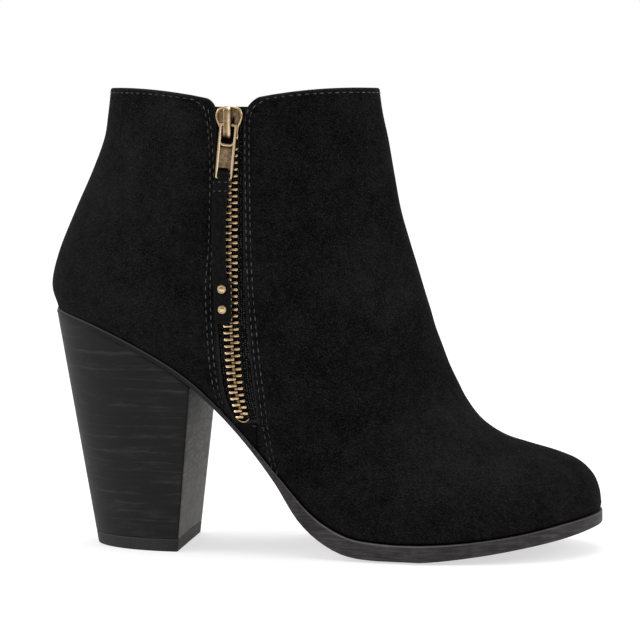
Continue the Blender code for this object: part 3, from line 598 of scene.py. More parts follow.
NEAR_SLOT = (0.0, 0.12, 0.35, 0.8, 1.2, 1.6, 2.0, 2.4, 2.8, 3.3, 3.8, 4.4, 5.2, 6.2)
FRONT_COLUMNS, SLOT_CELLS, REAR_COLUMNS = 40, 4, 24
NEAR_COLLAR = (0.0, 0.012, 0.035, 0.08, 0.12, 0.16, 0.2, 0.24, 0.28, 0.32, 0.37, 0.43, 0.5, 0.6)
ROWS_PER_PLACE, COLLAR_ROWS_FROM = 10, COLLAR - 0.7


def upper_places(slot_foot):
    """Places of the sections: even along the fan, closer at the round ends and the collar."""
    ends = np.linspace(0, 1, 15) ** 2
    fan = np.linspace(1, CORNER - 1, (CORNER - 2) * ROWS_PER_PLACE + 1)
    shaft_rows = round((COLLAR_ROWS_FROM - CORNER) * ROWS_PER_PLACE) + 1
    shaft = np.linspace(CORNER, COLLAR_ROWS_FROM, shaft_rows)
    fan[np.argmin(np.abs(fan - slot_foot))] = slot_foot
    collar = COLLAR - np.array(NEAR_COLLAR)
    return np.unique(np.round(np.concatenate([ends, fan, CORNER - ends, shaft, collar]), 7))


def column_shares(places, slot_foot):
    """Shares of the columns on each section. They keep to the opening's edges above its
    foot, close together beside them, and even out towards the toe below it."""
    above = np.maximum(places, slot_foot)
    data = upper_sections(above)
    length = (data["top_x"] - data["end_x"])[:, None]
    near = np.array(NEAR_SLOT)
    front, rear = (
        share_to_along(crossing_share(above, lambda z: opening_edge(name, z)))[:, None]
        for name in ("front_x", "rear_x")
    )
    room = np.clip(0.8 * (1 - rear) * length / near[-1], 0, 1)
    beside_front = along_to_share(front - near[::-1] / length)
    beside_rear = along_to_share(rear + near * room / length)
    cells = np.linspace(0, 1, SLOT_CELLS + 1)[1:-1]
    inside = along_to_share(front + (rear - front) * cells)
    before = beside_front[:, :1] * np.linspace(0, 1, FRONT_COLUMNS, endpoint=False)
    after = beside_rear[:, -1:] + (1 - beside_rear[:, -1:]) * np.linspace(0, 1, REAR_COLUMNS + 1)[1:]
    fitted = np.concatenate([before, beside_front, inside, beside_rear, after], axis=1)
    even = np.linspace(0, 1, fitted.shape[1])[None, :]
    weight = smooth_step(places, slot_foot - 3.0, slot_foot)[:, None]
    return even + (fitted - even) * weight


Form = namedtuple("Form", "places sheet normals inward slot_first slot_last slot_foot")


@lru_cache(maxsize=1)
def upper_form():
    """The upper's sheet, from the outer feather over the ridge to the inner feather, with
    unit normals from the cross product of its two grid directions. At the toe's tip, where
    both sides meet, they lie in the middle plane."""
    slot_foot = slot_foot_place()
    places = upper_places(slot_foot)
    share = column_shares(places, slot_foot)
    outer, inner = upper_points(places, share, OUTER), upper_points(places, share, INNER)
    sheet = np.concatenate([outer[:, ::-1], inner[:, 1:]], axis=1)
    normals = np.cross(np.gradient(sheet, axis=1), np.gradient(sheet, axis=0))
    side_columns = share.shape[1]
    ridge = side_columns - 1
    normals[0, ridge] = normals[0, ridge - 1]
    normals[0, :, 1] = 0.0
    seam = places >= CORNER
    normals[seam, 0, 1] = normals[seam, -1, 1] = 0.0
    inward = np.where(np.arange(sheet.shape[1]) < side_columns, OUTER, INNER)
    slot_last = ridge - (FRONT_COLUMNS + len(NEAR_SLOT) - 1)
    return Form(places, sheet, unit(normals), inward, slot_last - SLOT_CELLS, slot_last, slot_foot)


POINTS_AT_ONCE, NEAREST, NEAREST_SOFTENING = 150, 4, 1e-4


class OuterSide:
    """Points and normals of the upper's outer side, read by x and z of the side view."""

    def __init__(self):
        form = upper_form()
        outer = form.inward == OUTER
        self.points = form.sheet[:, outer].reshape(-1, 3)
        self.normals = form.normals[:, outer].reshape(-1, 3)

    def at(self, x, z):
        """Points and normals of the side at x and z: the mean of the nearest points'
        tangent planes, each weighed by the inverse of its squared distance."""
        x, z = np.broadcast_arrays(np.asarray(x, float), np.asarray(z, float))
        flat = np.stack([x.ravel(), z.ravel()], axis=-1)
        heights, normals = [], []
        for part in np.array_split(flat, max(1, len(flat) // POINTS_AT_ONCE)):
            offset = part[:, None, :] - self.points[None, :, ::2]
            square = (offset**2).sum(axis=-1)
            near = np.argpartition(square, NEAREST, axis=1)[:, :NEAREST]
            weight = 1 / (np.take_along_axis(square, near, axis=1) + NEAREST_SOFTENING)
            weight /= weight.sum(axis=1, keepdims=True)
            point, normal = self.points[near], self.normals[near]
            step = part[:, None, :] - point[:, :, ::2]
            plane = point[:, :, 1] - (step * normal[:, :, ::2]).sum(axis=-1) / normal[:, :, 1]
            heights.append((plane * weight).sum(axis=1))
            normals.append((normal * weight[:, :, None]).sum(axis=1))
        y = np.concatenate(heights).reshape(x.shape)
        return np.stack([x, y, z], axis=-1), unit(np.concatenate(normals)).reshape(*x.shape, 3)


@lru_cache(maxsize=1)
def outer_side():
    """The outer side, worked out once."""
    return OuterSide()


# Meshes

def clean_mesh(mesh, closed=True):
    """Merges points that coincide, and turns the faces of a closed mesh outward."""
    work = bmesh.new()
    work.from_mesh(mesh)
    bmesh.ops.remove_doubles(work, verts=work.verts, dist=MERGE_DISTANCE)
    if closed:
        bmesh.ops.recalc_face_normals(work, faces=work.faces)
    work.to_mesh(mesh)
    work.free()


def make_piece(name, shape, finishes, body, replaced=(), finish_ids=None, marks=None):
    """A piece from (points, quads) in the shoe's frame: points that coincide merged, faces
    turned outward, shaded smooth but for sharp edges, riding on a body of the frame.
    finish_ids picks a finish for each quad and marks gives each point a named value."""
    points, quads = shape
    mesh = bpy.data.meshes.new(name)
    placed = np.asarray(points).reshape(-1, 3) * MM + FOOTPRINT
    mesh.from_pydata(placed, [], quads.tolist())
    for finish in finishes:
        mesh.materials.append(finish)
    if finish_ids is not None:
        mesh.polygons.foreach_set("material_index", np.asarray(finish_ids, np.int32))
    for mark, values in (marks or {}).items():
        kind, key = ("FLOAT_VECTOR", "vector") if values.ndim == 2 else ("FLOAT", "value")
        layer = mesh.attributes.new(mark, kind, "POINT")
        layer.data.foreach_set(key, values.astype(np.float32).ravel())
    clean_mesh(mesh)
    mesh.shade_smooth()
    mesh.set_sharp_from_angle(angle=SHARP_ANGLE)
    piece = bpy.data.objects.new(name, mesh)
    bpy.context.scene.collection.objects.link(piece)
    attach(piece, body)
    if replaced:
        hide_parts(*replaced)


# Shaders

class Number:
    """A node's output socket; arithmetic on one that carries a number adds Math nodes."""

    def __init__(self, nodes, socket):
        self.nodes, self.socket = nodes, socket

    def math(self, operation, first, second=0.0):
        """A Math node on one or two values."""
        return self.nodes.node("ShaderNodeMath", {"operation": operation}, {0: first, 1: second})

    def __add__(self, other):
        return self.math("ADD", self, other)

    def __sub__(self, other):
        return self.math("SUBTRACT", self, other)

    def __mul__(self, other):
        return self.math("MULTIPLY", self, other)

    def __rsub__(self, other):
        return self.math("SUBTRACT", other, self)

    __radd__, __rmul__ = __add__, __mul__

    def absolute(self):
        return self.math("ABSOLUTE", self)

    def fraction(self):
        return self.math("FRACT", self)

    def wave(self):
        return self.math("SINE", self)

    def at_least(self, other):
        return self.math("MAXIMUM", self, other)

    def ramp(self, low, high, first=0.0, last=1.0):
        """The first value below low and the last above high, with a smooth rise between."""
        inputs = {"Value": self, "From Min": low, "From Max": high, "To Min": first, "To Max": last}
        return self.nodes.node("ShaderNodeMapRange", {"interpolation_type": "SMOOTHSTEP"}, inputs)


class Nodes:
    """The nodes of a shader tree and their links."""

    def __init__(self, tree):
        self.tree = tree

    def put(self, socket, value):
        """Links a number or a node's socket, or sets a plain value."""
        if isinstance(value, Number):
            self.tree.links.new(value.socket, socket)
        elif socket.type == "RGBA":
            socket.default_value = (*value, 1.0)
        else:
            socket.default_value = value

    def node(self, kind, settings=None, inputs=None, output=0):
        """A node of a kind: its settings first, then the values or links of its sockets."""
        made = self.tree.nodes.new(kind)
        for key, value in (settings or {}).items():
            setattr(made, key, value)
        for key, value in (inputs or {}).items():
            self.put(made.inputs[key], value)
        return Number(self, made.outputs[output])

    def split(self, vector):
        """The three numbers of a vector."""
        first = self.node("ShaderNodeSeparateXYZ", None, {0: vector})
        return [Number(self, output) for output in first.socket.node.outputs]


class Paint(Nodes):
    """A material under construction: its coordinates, patterns and Principled shader."""

    def __init__(self, name, **constants):
        self.material = bpy.data.materials.new(name)
        self.material.use_nodes = True
        super().__init__(self.material.node_tree)
        self.shader = self.tree.nodes["Principled BSDF"]
        for socket, value in constants.items():
            self.set(socket.replace("_", " ").title().replace("Ior", "IOR"), value)
        self.place = None

    def set(self, name, value):
        """Links or sets a socket of the shader by its name."""
        self.put(self.shader.inputs[name], value)

    def coordinates(self):
        """Object coordinates in metres."""
        if self.place is None:
            self.place = self.node("ShaderNodeTexCoord", output="Object")
        return self.place

    def axes(self):
        """The three coordinates in millimetres of the shoe's frame."""
        parts = self.split(self.coordinates())
        return [(part - float(start)) * (1 / MM) for part, start in zip(parts, FOOTPRINT)]

    def stretched(self, x, y, z, turn=(0.0, 0.0, 0.0)):
        """Object coordinates multiplied along each axis, then turned."""
        inputs = {"Vector": self.coordinates(), "Rotation": turn, "Scale": (x, y, z)}
        return self.node("ShaderNodeMapping", None, inputs)

    def noise(self, size, detail=2.0, roughness=0.5, place=None):
        """Noise with features of about a size in millimetres, from 0 to 1."""
        inputs = {
            "Vector": place or self.coordinates(),
            "Scale": 1 / (size * MM),
            "Detail": detail,
            "Roughness": roughness,
        }
        return self.node("ShaderNodeTexNoise", None, inputs)

    def cells(self, size, feature="F1", place=None):
        """Distance to the nearest of scattered points, about a size apart in millimetres."""
        inputs = {"Vector": place or self.coordinates(), "Scale": 1 / (size * MM)}
        return self.node("ShaderNodeTexVoronoi", {"feature": feature}, inputs)

    def mark(self, name, output="Fac"):
        """A value that the mesh carries under a name."""
        return self.node("ShaderNodeAttribute", {"attribute_name": name}, output=output)

    def mix(self, factor, first, second):
        """Colour between two others."""
        inputs = {0: factor, 6: first, 7: second}
        return self.node("ShaderNodeMix", {"data_type": "RGBA"}, inputs, output=2)

    def spot(self, x, y, z, radius):
        """Soft ball of influence round a point of the shoe's frame, 1 at its centre."""
        centre = tuple(np.array([x, y, z]) * MM + FOOTPRINT)
        inputs = {0: self.coordinates(), 1: centre}
        away = self.node("ShaderNodeVectorMath", {"operation": "DISTANCE"}, inputs, output="Value")
        return 1 - away.ramp(0.0, radius * MM)

    def bump(self, height, depth):
        """Relief from a height between 0 and 1 that stands for a depth in millimetres."""
        inputs = {"Height": height, "Distance": depth * MM}
        self.set("Normal", self.node("ShaderNodeBump", None, inputs))
        return self.material


def brighter(base, times):
    """A colour with each of its parts multiplied."""
    return tuple(times * part for part in base)


# Blacks of the suede's seams and of the painted shade at its foot, of the painted shadow on brass and of
# the heel's front corner
SEAM_AND_SHADE_BLACK = (0.0003, 0.0003, 0.0003)
SHADOW_BLACK = (0.004, 0.003, 0.0025)
CORNER_BLACK = (0.0015, 0.0015, 0.0015)

# Places on the suede given painted light, lighter patches where the light falls, with how far and how much
PAINTED_LIGHT_SPOTS = table(
    "x y z radius weight",
    (6.0, -14.0, 116.0, 62.0, 0.20),
    (36.0, -24.0, 152.0, 50.0, 0.21),
    (190.0, -24.0, 36.0, 36.0, 0.19),
    (160.0, -30.0, 46.0, 44.0, 0.20),
    (133.0, -16.0, 108.0, 28.0, 0.18),
    (44.0, -27.0, 92.0, 36.0, 0.14),
    (150.0, -38.0, 20.0, 34.0, 0.07),
)


def suede_finish(colours):
    """Napped suede: pale flecks of fibre, patches of painted light, a painted highlight along the
    folded edges, a line of painted shade at its foot and a smooth guard below the zip."""
    paint = Paint("black_suede", specular_ior_level=0.03, sheen_weight=0.014, sheen_roughness=0.25)
    flecks = paint.noise(0.42, 2.0, 0.7)
    curls = paint.noise(0.6, 3.0, 0.75, paint.stretched(0.4, 1.0, 1.0, (0.0, 0.7, 0.0)))
    tufts = paint.noise(3.2, 3.0, 0.65)
    clouds = paint.noise(15.0, 3.0, 0.6)
    painted_light = sum(paint.spot(spot.x, spot.y, spot.z, spot.radius) * spot.weight for spot in PAINTED_LIGHT_SPOTS)
    x, y, z = paint.axes()
    # fold: painted highlight along the folded edges of the collar and the zip opening
    fold = paint.mark("fold")
    tone = (tufts - 0.5) * 0.55 + (clouds - 0.5) * 0.7 + painted_light + 0.29 + fold * 0.7
    lint = paint.noise(0.7, 1.0, 0.5).ramp(0.62, 0.78)
    speck = tone + flecks.ramp(0.45, 0.72) * 0.8 + (curls - 0.5) * 1.0 + lint * 0.45 - 0.16
    below = (ZIP[0].z + 1.0 - z).ramp(0.0, 0.5) * (0.0 - y).ramp(5.0, 8.0)
    guard = (ZIP[0].front_x - x).ramp(0.0, 0.5) * (x - GUARD_REAR).ramp(0.0, 3.0) * below
    seam = (1.0 - (x - ZIP[0].front_x - GUARD_SEAM).absolute().ramp(0.1, 0.7)) * below
    nap = paint.mix(speck.ramp(-0.15, 1.25), colours.suede_dark, colours.suede_light)
    panel = paint.mix(guard * 0.8, nap, colours.strap)
    # Darkens to black along the seam in front of the guard, and as painted shade along the suede's foot
    # where it meets the sole
    shade = 1.0 - (1.0 - seam * 0.9) * (1.0 - paint.mark("foot") * 0.96)
    paint.set("Base Color", paint.mix(shade, panel, SEAM_AND_SHADE_BLACK))
    paint.set("Roughness", 1.0 - guard * 0.4)
    height = flecks * 0.5 + curls * 0.4 + tufts * 0.5 + clouds * 0.4
    return paint.bump(height * (1.0 - guard), 0.3)


def thread_finish(colours):
    """Twisted sewing thread: slanted strands along the stitch, some stitches paler than the rest,
    and those towards the zip's foot darker, most of all behind it."""
    paint = Paint("black_thread", roughness=0.55, specular_ior_level=0.12)
    strands = paint.noise(0.12, 1.0, 0.5, paint.stretched(1.0, 1.0, 0.5, (0.5, 0.4, 0.0)))
    stitches = paint.noise(3.0, 1.0, 0.5)
    tone = (strands - 0.5) * 0.9 + stitches.ramp(0.35, 0.65) * 0.7 + 0.15
    x, _, z = paint.axes()
    behind = (ZIP[0].middle_x - x).ramp(0.0, 2.0)
    # sunk: stitches darker towards the zip's foot, most of all behind the zip
    sunk = (DARKENED_STITCH_TOP - z).ramp(0.0, DARKENED_STITCH_FADE) * (behind * 0.45 + 0.55)
    strand = paint.mix(tone.ramp(0.0, 1.0), colours.thread, brighter(colours.thread, 3.4))
    paint.set("Base Color", paint.mix(sunk * 0.75, strand, colours.suede_dark))
    return paint.bump(strands, 0.05)


def lining_finish(colours):
    """Soft lining leather: fine pores, faint wrinkles and a little wear."""
    paint = Paint("lining_leather", roughness=0.82, specular_ior_level=0.1)
    pores = paint.cells(0.55)
    wrinkles = paint.noise(5.0, 3.0, 0.6)
    tone = (wrinkles - 0.3) * 1.4
    worn = brighter(colours.lining, 1.7)
    paint.set("Base Color", paint.mix(tone.ramp(0.0, 1.0), colours.lining, worn))
    return paint.bump(pores * 0.4 + wrinkles * 0.6, 0.12)


RIB_PITCH, WEFT_PITCH = 0.95, 0.8


def tape_finish(colours):
    """Woven zip tape: ribs along it crossed by a fine weft, from the tape's own place."""
    paint = Paint("zip_tape_cloth", roughness=0.8, specular_ior_level=0.06)
    across, along, _ = paint.split(paint.mark("tape_place", "Vector"))
    ribs = (across * (2 * math.pi / RIB_PITCH)).wave() * 0.5 + 0.5
    shift = (across * (math.pi / RIB_PITCH)).wave() * 1.6
    weft = (along * (2 * math.pi / WEFT_PITCH) + shift).wave() * 0.5 + 0.5
    weave = ribs * weft
    fuzz = paint.noise(0.2, 2.0)
    slubs = paint.noise(0.55, 1.0).ramp(0.42, 0.62)
    shine = brighter(colours.tape, 44.0)
    tone = weave * (slubs * 0.9 + 0.35) + (fuzz - 0.5) * 0.3
    paint.set("Base Color", paint.mix(tone.ramp(0.2, 1.0), colours.tape, shine))
    return paint.bump(weave + fuzz * 0.25, 0.16)


def brass_finish(colours):
    """Aged brass: a painted highlight where its mark of patina and painted light is below 0,
    brown where it nears 1, as patina and as painted shade, and black at 2 as painted shadow; mottled and
    lightly scratched."""
    paint = Paint("aged_brass", metallic=1.0)
    patina = paint.mark("patina")
    stains = paint.noise(1.6, 3.0, 0.6)
    mottle = paint.noise(0.4, 2.0, 0.6)
    scratches = paint.noise(0.16, 2.0, 0.5, paint.stretched(1.0, 1.0, 0.12))
    worn = (stains - 0.5) * 0.7 + (mottle - 0.5) * 0.7 + (scratches - 0.5) * 0.3
    dark = (patina * 0.85 + worn).ramp(0.0, 1.0)
    tone = paint.mix(dark, colours.brass, colours.brass_stain_and_shade)
    highlighted = paint.mix((0.0 - patina - worn * 0.4).ramp(0.0, 0.45), tone, colours.brass_highlight)
    paint.set("Base Color", paint.mix(patina.ramp(1.2, 2.0), highlighted, SHADOW_BLACK))
    paint.set("Roughness", 0.22 + dark * 0.22 + (scratches - 0.5) * 0.12)
    return paint.bump(scratches * 0.5 + stains * 0.5, 0.03)


def strap_finish(colours):
    """Black strap leather: close pebbles, soft gloss and a painted highlight along its edges."""
    paint = Paint("strap_leather", specular_ior_level=0.07)
    pebbles = paint.cells(0.7)
    wrinkles = paint.noise(1.3, 4.0, 0.75)
    edge = paint.mark("edge").ramp(0.85, 1.0)
    # rubbed: the painted highlight of the edges and the round end
    rubbed = brighter(colours.strap, 5.0)
    tone = (wrinkles - 0.5) * 2.4 + (pebbles - 0.4) * 0.8 + 0.35 + edge * 0.4
    paint.set("Base Color", paint.mix(tone.ramp(0.0, 1.0), colours.strap, rubbed))
    paint.set("Roughness", 0.55 + wrinkles * 0.3)
    return paint.bump(pebbles * 0.5 + wrinkles * 0.6, 0.16)


def heel_layers(paint):
    """Stacked layers: soft lines at uneven heights, wavy and broken along their length, and
    long blots of grain between them. Both fade out round the heel's back, as the third
    value says."""
    x, _, z = paint.axes()
    sway = paint.noise(26.0, 3.0, 0.55) - 0.5
    ripple = paint.noise(3.5, 3.0, 0.6, paint.stretched(0.6, 0.6, 1.0)) - 0.5
    level = z + sway * 2.4 + ripple * 1.5
    pack = level * (1 - level * 0.0018) + (level * 0.37).wave() * 0.7
    line = ((pack * (1 / LAYER_HEIGHT)).fraction() - 0.5).absolute()
    broken = paint.noise(8.0, 3.0, 0.65, paint.stretched(0.5, 0.5, 1.4))
    strata = paint.noise(2.4, 3.0, 0.65, paint.stretched(0.16, 0.16, 1.0))
    side = (x + z * HEEL_BACK_LEAN - HEEL_FOOT_BACK).ramp(1.5, 9.0)
    return line.ramp(0.34, 0.49) * broken.ramp(0.3, 0.62) * side, strata, side


def heel_finish(colours):
    """Heel side: dark stacked layers with lighter lines between, painted light towards its back, and a dark
    front corner.
    """
    paint = Paint("stacked_heel", specular_ior_level=0.16)
    lines, strata, side = heel_layers(paint)
    blots = paint.noise(9.0, 2.0, 0.5, paint.stretched(0.4, 0.4, 1.0))
    fine = paint.noise(0.7, 2.0, 0.6, paint.stretched(0.3, 0.3, 1.0))
    x, _, z = paint.axes()
    corner = (x - z * BREAST_LEAN - BREAST_FOOT_X).ramp(-0.7, -0.35)
    grain = (strata - 0.5) * (side * 2.4 + 0.3) + (fine - 0.5) * 0.7
    # The heel's back is painted lighter than its sides, as painted light
    tone = lines * 0.6 + grain + (blots - 0.5) * 0.6 + 0.22 - side * 0.15
    layered = paint.mix(tone.ramp(-0.1, 1.2), colours.heel, colours.heel_line)
    paint.set("Base Color", paint.mix(corner * 0.85, layered, CORNER_BLACK))
    paint.set("Roughness", 0.45 + strata * 0.25)
    return paint.bump(lines * 0.6 + strata * 0.5, 0.12)


Scratches = namedtuple("Scratches", "size turn weight")
BREAST_SCRATCHES = (Scratches(4.2, 0.5, 0.6), Scratches(2.2, -0.4, 0.45))


def breast_finish(colours):
    """Heel breast: a paler covering, partly its own colour and partly painted light on a face
    turned to the light, blotted and faintly streaked, with crossing scratches that thin out downwards."""
    paint = Paint("heel_breast", specular_ior_level=0.16)
    z = paint.axes()[2]
    upright = paint.noise(1.2, 3.0, 0.65, paint.stretched(1.0, 0.8, 0.15))
    blots = paint.noise(1.7, 4.0, 0.75, paint.stretched(1.0, 0.25, 1.0))
    scratches = 0.0
    for layer in BREAST_SCRATCHES:
        place = paint.stretched(1.0, 0.22, 1.0, (layer.turn, 0.0, 0.0))
        edge = paint.cells(layer.size, "DISTANCE_TO_EDGE", place)
        scratches = scratches + (1.0 - edge.ramp(0.0, 0.14)) * layer.weight
    scratches = scratches * (z.ramp(8.0, 50.0) * 0.75 + 0.25)
    tone = (upright - 0.5) * 0.8 + (blots - 0.5) * 1.7 + 0.58 - scratches
    paint.set("Base Color", paint.mix(tone.ramp(0.0, 1.0), colours.breast_dark, colours.breast))
    paint.set("Roughness", 0.5 + blots * 0.2)
    return paint.bump(upright * 0.3 + blots * 0.5 - scratches * 0.4, 0.12)


def sole_finish(colours):
    """Sole edge: trimmed and waxed, with drawn grain, a painted highlight along its top arris and small
    nicks; it darkens where the sole thins under the waist and the heel seat."""
    paint = Paint("sole_edge", specular_ior_level=0.14)
    x, _, z = paint.axes()
    seat = z.ramp(45.0, 75.0)
    depth = paint.mark("edge_depth") * (1.0 - seat * 0.7)
    arris = depth.ramp(0.0, 0.02) * (1.0 - depth.ramp(0.05, 0.12))
    arris = arris * (1.0 - x.ramp(135.0, 190.0) * 0.6)
    grain = paint.noise(0.6, 3.0, 0.65, paint.stretched(0.06, 0.06, 1.0))
    blots = paint.noise(6.0, 3.0, 0.6)
    nicks = paint.cells(3.5).ramp(0.06, 0.16)
    tone = (grain - 0.5) * 1.8 + (blots - 0.5) * 1.0 + 0.42 - seat * 0.6
    trimmed = paint.mix(tone.ramp(0.0, 1.3), colours.sole, colours.sole_worn)
    seated = paint.mix(seat * 0.85, trimmed, colours.heel)
    # rubbed: the painted highlight along the arris
    rubbed = brighter(colours.sole_worn, 2.2)
    paint.set("Base Color", paint.mix(arris * (0.6 - seat * 0.36), seated, rubbed))
    paint.set("Roughness", 0.44 + blots * 0.25)
    return paint.bump(grain * 0.5 + blots * 0.3 + nicks * 0.15, 0.10)


TREAD_PITCH = 2.6


def tread_finish(colours):
    """Sole's underside: a fine chequered tread, rubbed where it meets the floor."""
    paint = Paint("sole_tread", specular_ior_level=0.15)
    x, y, _ = paint.axes()
    grooves = [((way * (1 / TREAD_PITCH)).fraction() - 0.5).absolute() for way in (x + y, x - y)]
    studs = grooves[0].ramp(0.06, 0.16) * grooves[1].ramp(0.06, 0.16)
    rubbed = paint.noise(16.0, 3.0, 0.6)
    tone = (rubbed * 0.8 + studs * 0.3 - 0.2).ramp(0.0, 1.0)
    paint.set("Base Color", paint.mix(tone, colours.rubber, colours.sole))
    paint.set("Roughness", 0.6 + rubbed * 0.25)
    return paint.bump(studs + rubbed * 0.2, 0.35)


def rubber_finish(colours):
    """Top lift rubber: matt, with faint moulding grain, lighter along its upper edge and darker on its
    front face.
    """
    paint = Paint("top_lift_rubber", specular_ior_level=0.14)
    grain = paint.noise(0.7, 3.0, 0.6)
    blots = paint.noise(5.0, 2.0, 0.6, paint.stretched(0.3, 0.3, 1.0))
    x, _, z = paint.axes()
    rim = z.ramp(TOP_LIFT_HEIGHT - 0.7, TOP_LIFT_HEIGHT - 0.4)
    front = (x - BREAST_FOOT_X).ramp(-0.3, 0.0)
    tone = ((grain - 0.5) * 0.8 + (blots - 0.5) + 0.42 + (rim * 0.7 - 0.3 * front)).ramp(0.0, 1.2)
    paint.set("Base Color", paint.mix(tone, colours.rubber, brighter(colours.rubber, 2.1)))
    paint.set("Roughness", 0.55 + blots * 0.2)
    return paint.bump(grain * 0.6 + blots * 0.4, 0.08)


def floor_finish(colours):
    """Plain pale floor, glowing a little from within, so that shadows on it stay soft."""
    paint = Paint("pale_floor", specular_ior_level=0.1, roughness=0.9, emission_strength=0.62)
    cloud = paint.noise(60.0, 2.0)
    paint.set("Base Color", paint.mix(cloud, colours.floor, brighter(colours.floor, 1.02)))
    paint.set("Emission Color", (1.0, 1.0, 1.0))
    return paint.bump(cloud, 0.02)


# The upper with its lining and stitches

def crease_relief(x, z, depth_share):
    """Sum of soft troughs with a low ridge on both sides: each falls off as a bell across
    its line and fades towards its ends as a half wave."""
    total = np.zeros_like(x)
    for crease in CREASES:
        run = np.array([crease.x1 - crease.x0, crease.z1 - crease.z0])
        length = np.hypot(*run)
        along = ((x - crease.x0) * run[0] + (z - crease.z0) * run[1]) / length**2
        across = ((z - crease.z0) * run[0] - (x - crease.x0) * run[1]) / length
        fade = np.sin(math.pi * np.clip(along, 0, 1)) ** 2
        ridge = bell(np.abs(across) - 1.6 * crease.width, crease.width)
        total += crease.depth * fade * (0.35 * ridge - bell(across, crease.width))
    return total * depth_share


def panel_distances(form):
    """Distance in the side view from each point to its panel's folded edge, at the collar
    or the zip opening, and to the nearest stitch line."""
    x, z = form.sheet[:, :, 0], form.sheet[:, :, 2]
    outer = (form.inward == OUTER)[None, :]
    dip = np.where(outer, full_dip(x, OUTER), full_dip(x, INNER))
    collar = COLLAR_Z - dip - z
    front, rear = x - opening_edge("front_x", z), opening_edge("rear_x", z) - x
    beside = np.where(x > zip_line("middle_x", z), front, rear)
    has_slot = outer & (form.places >= form.slot_foot - 0.02)[:, None]
    edge = np.minimum(collar, np.where(has_slot, beside, np.inf))
    lines = [np.abs(x - stitch_line(name, z)) for name in STITCH_LINES[0]._fields[1:]]
    reached = outer & (z < COLLAR_Z - dip - COLLAR_STITCH)
    slot_stitch = np.where(reached, np.minimum.reduce(lines), np.inf)
    outside = outer & (x < stitch_line("front_far", z)) & (x > stitch_line("rear_far", z))
    collar_stitch = np.where(outside, np.inf, np.abs(collar - COLLAR_STITCH))
    return edge, np.minimum(slot_stitch, collar_stitch)


def feather_distance(form):
    """Length along each section from its nearest feather; far above the heel seat."""
    steps = np.linalg.norm(np.diff(form.sheet, axis=1), axis=-1)
    from_outer = np.concatenate([np.zeros((len(steps), 1)), np.cumsum(steps, axis=1)], axis=1)
    from_inner = from_outer[:, -1:] - from_outer
    nearest = np.minimum(from_outer, from_inner)
    return np.where((form.places <= CORNER)[:, None], nearest, np.inf)


def upper_relief(form, sizes):
    """Height of the suede over its form: rounded edges, channels under the stitches, a
    padded fold beside them, the seam below the zip, and creases."""
    x, z = form.sheet[:, :, 0], form.sheet[:, :, 2]
    edge, stitch = panel_distances(form)
    outer = (form.inward == OUTER)[None, :]
    relief = crease_relief(x, z, sizes.crease_depth)
    relief += FOLD_PAD * bell(edge - FOLD_PAD_FROM_EDGE, FOLD_PAD_WIDTH)
    relief -= STITCH_CHANNEL.depth * bell(stitch, STITCH_CHANNEL.width)
    below = outer & (z < ZIP[0].z + 2.0)
    seam = np.where(below, np.abs(x - ZIP[0].front_x - GUARD_SEAM), np.inf)
    relief -= SEAM_CHANNEL.depth * bell(seam, SEAM_CHANNEL.width)
    relief -= edge_roll(edge, sizes.suede_wall / MM * 0.75)
    return relief - 0.5 * edge_roll(feather_distance(form), 1.0)


def slot_cells(form):
    """Which cells of the sheet are filled: all but those of the zip opening."""
    rows, columns = len(form.places) - 1, form.sheet.shape[1] - 1
    filled = np.ones((rows, columns), bool)
    above = form.places[:-1] >= form.slot_foot - 1e-6
    filled[above, form.slot_first : form.slot_last] = False
    return filled


def make_upper(finishes, sizes):
    """The suede upper: its relief outside, and an even wall inside that rolls to the edges."""
    form = upper_form()
    wall = sizes.suede_wall / MM
    outside = form.sheet + form.normals * upper_relief(form, sizes)[:, :, None]
    edge = panel_distances(form)[0]
    inside = form.sheet - form.normals * (wall - 0.2 * edge_roll(edge, 0.8))[:, :, None]
    shape = slab(outside, inside, slot_cells(form), True, form.places[:-1] >= CORNER)
    # fold marks the painted highlight along the folded edges
    fold = bell(np.clip(edge, 0, None), 0.8)
    # foot: painted shade along the feather line, where the suede meets the sole
    foot = bell(np.clip(feather_distance(form) - 0.3, 0, None), 1.0)
    marks = {"fold": np.tile(fold.ravel(), 2), "foot": np.tile(foot.ravel(), 2)}
    make_piece("upper_suede", shape, [finishes["suede"]], "boot", ["upper"], marks=marks)


LINING_TOP, LINING_GAP, LINING_MARGIN = COLLAR - 0.32, 0.05, 0.8


def make_lining(finishes, sizes):
    """Lining inside the suede, on every second line of its grid, short of the collar and of
    the zip opening: a second wall behind the first."""
    form = upper_form()
    rows = np.flatnonzero(form.places <= LINING_TOP)[::2]
    places, sheet, normals = form.places[rows], form.sheet[rows, ::2], form.normals[rows, ::2]
    first = sizes.suede_wall / MM + LINING_GAP
    last = first + sizes.lining_wall / MM
    x, z = sheet[:, :, 0], sheet[:, :, 2]
    clear = x > opening_edge("front_x", z) + LINING_MARGIN
    clear |= x < opening_edge("rear_x", z) - LINING_MARGIN
    clear |= (form.inward[::2] == INNER)[None, :] | (z < ZIP[0].z)
    filled = clear[:-1, :-1] & clear[1:, :-1] & clear[:-1, 1:] & clear[1:, 1:]
    outside, inside = sheet - normals * first, sheet - normals * last
    shape = slab(outside, inside, filled, True, places[:-1] >= CORNER)
    make_piece("upper_lining", shape, [finishes["lining"]], "boot")


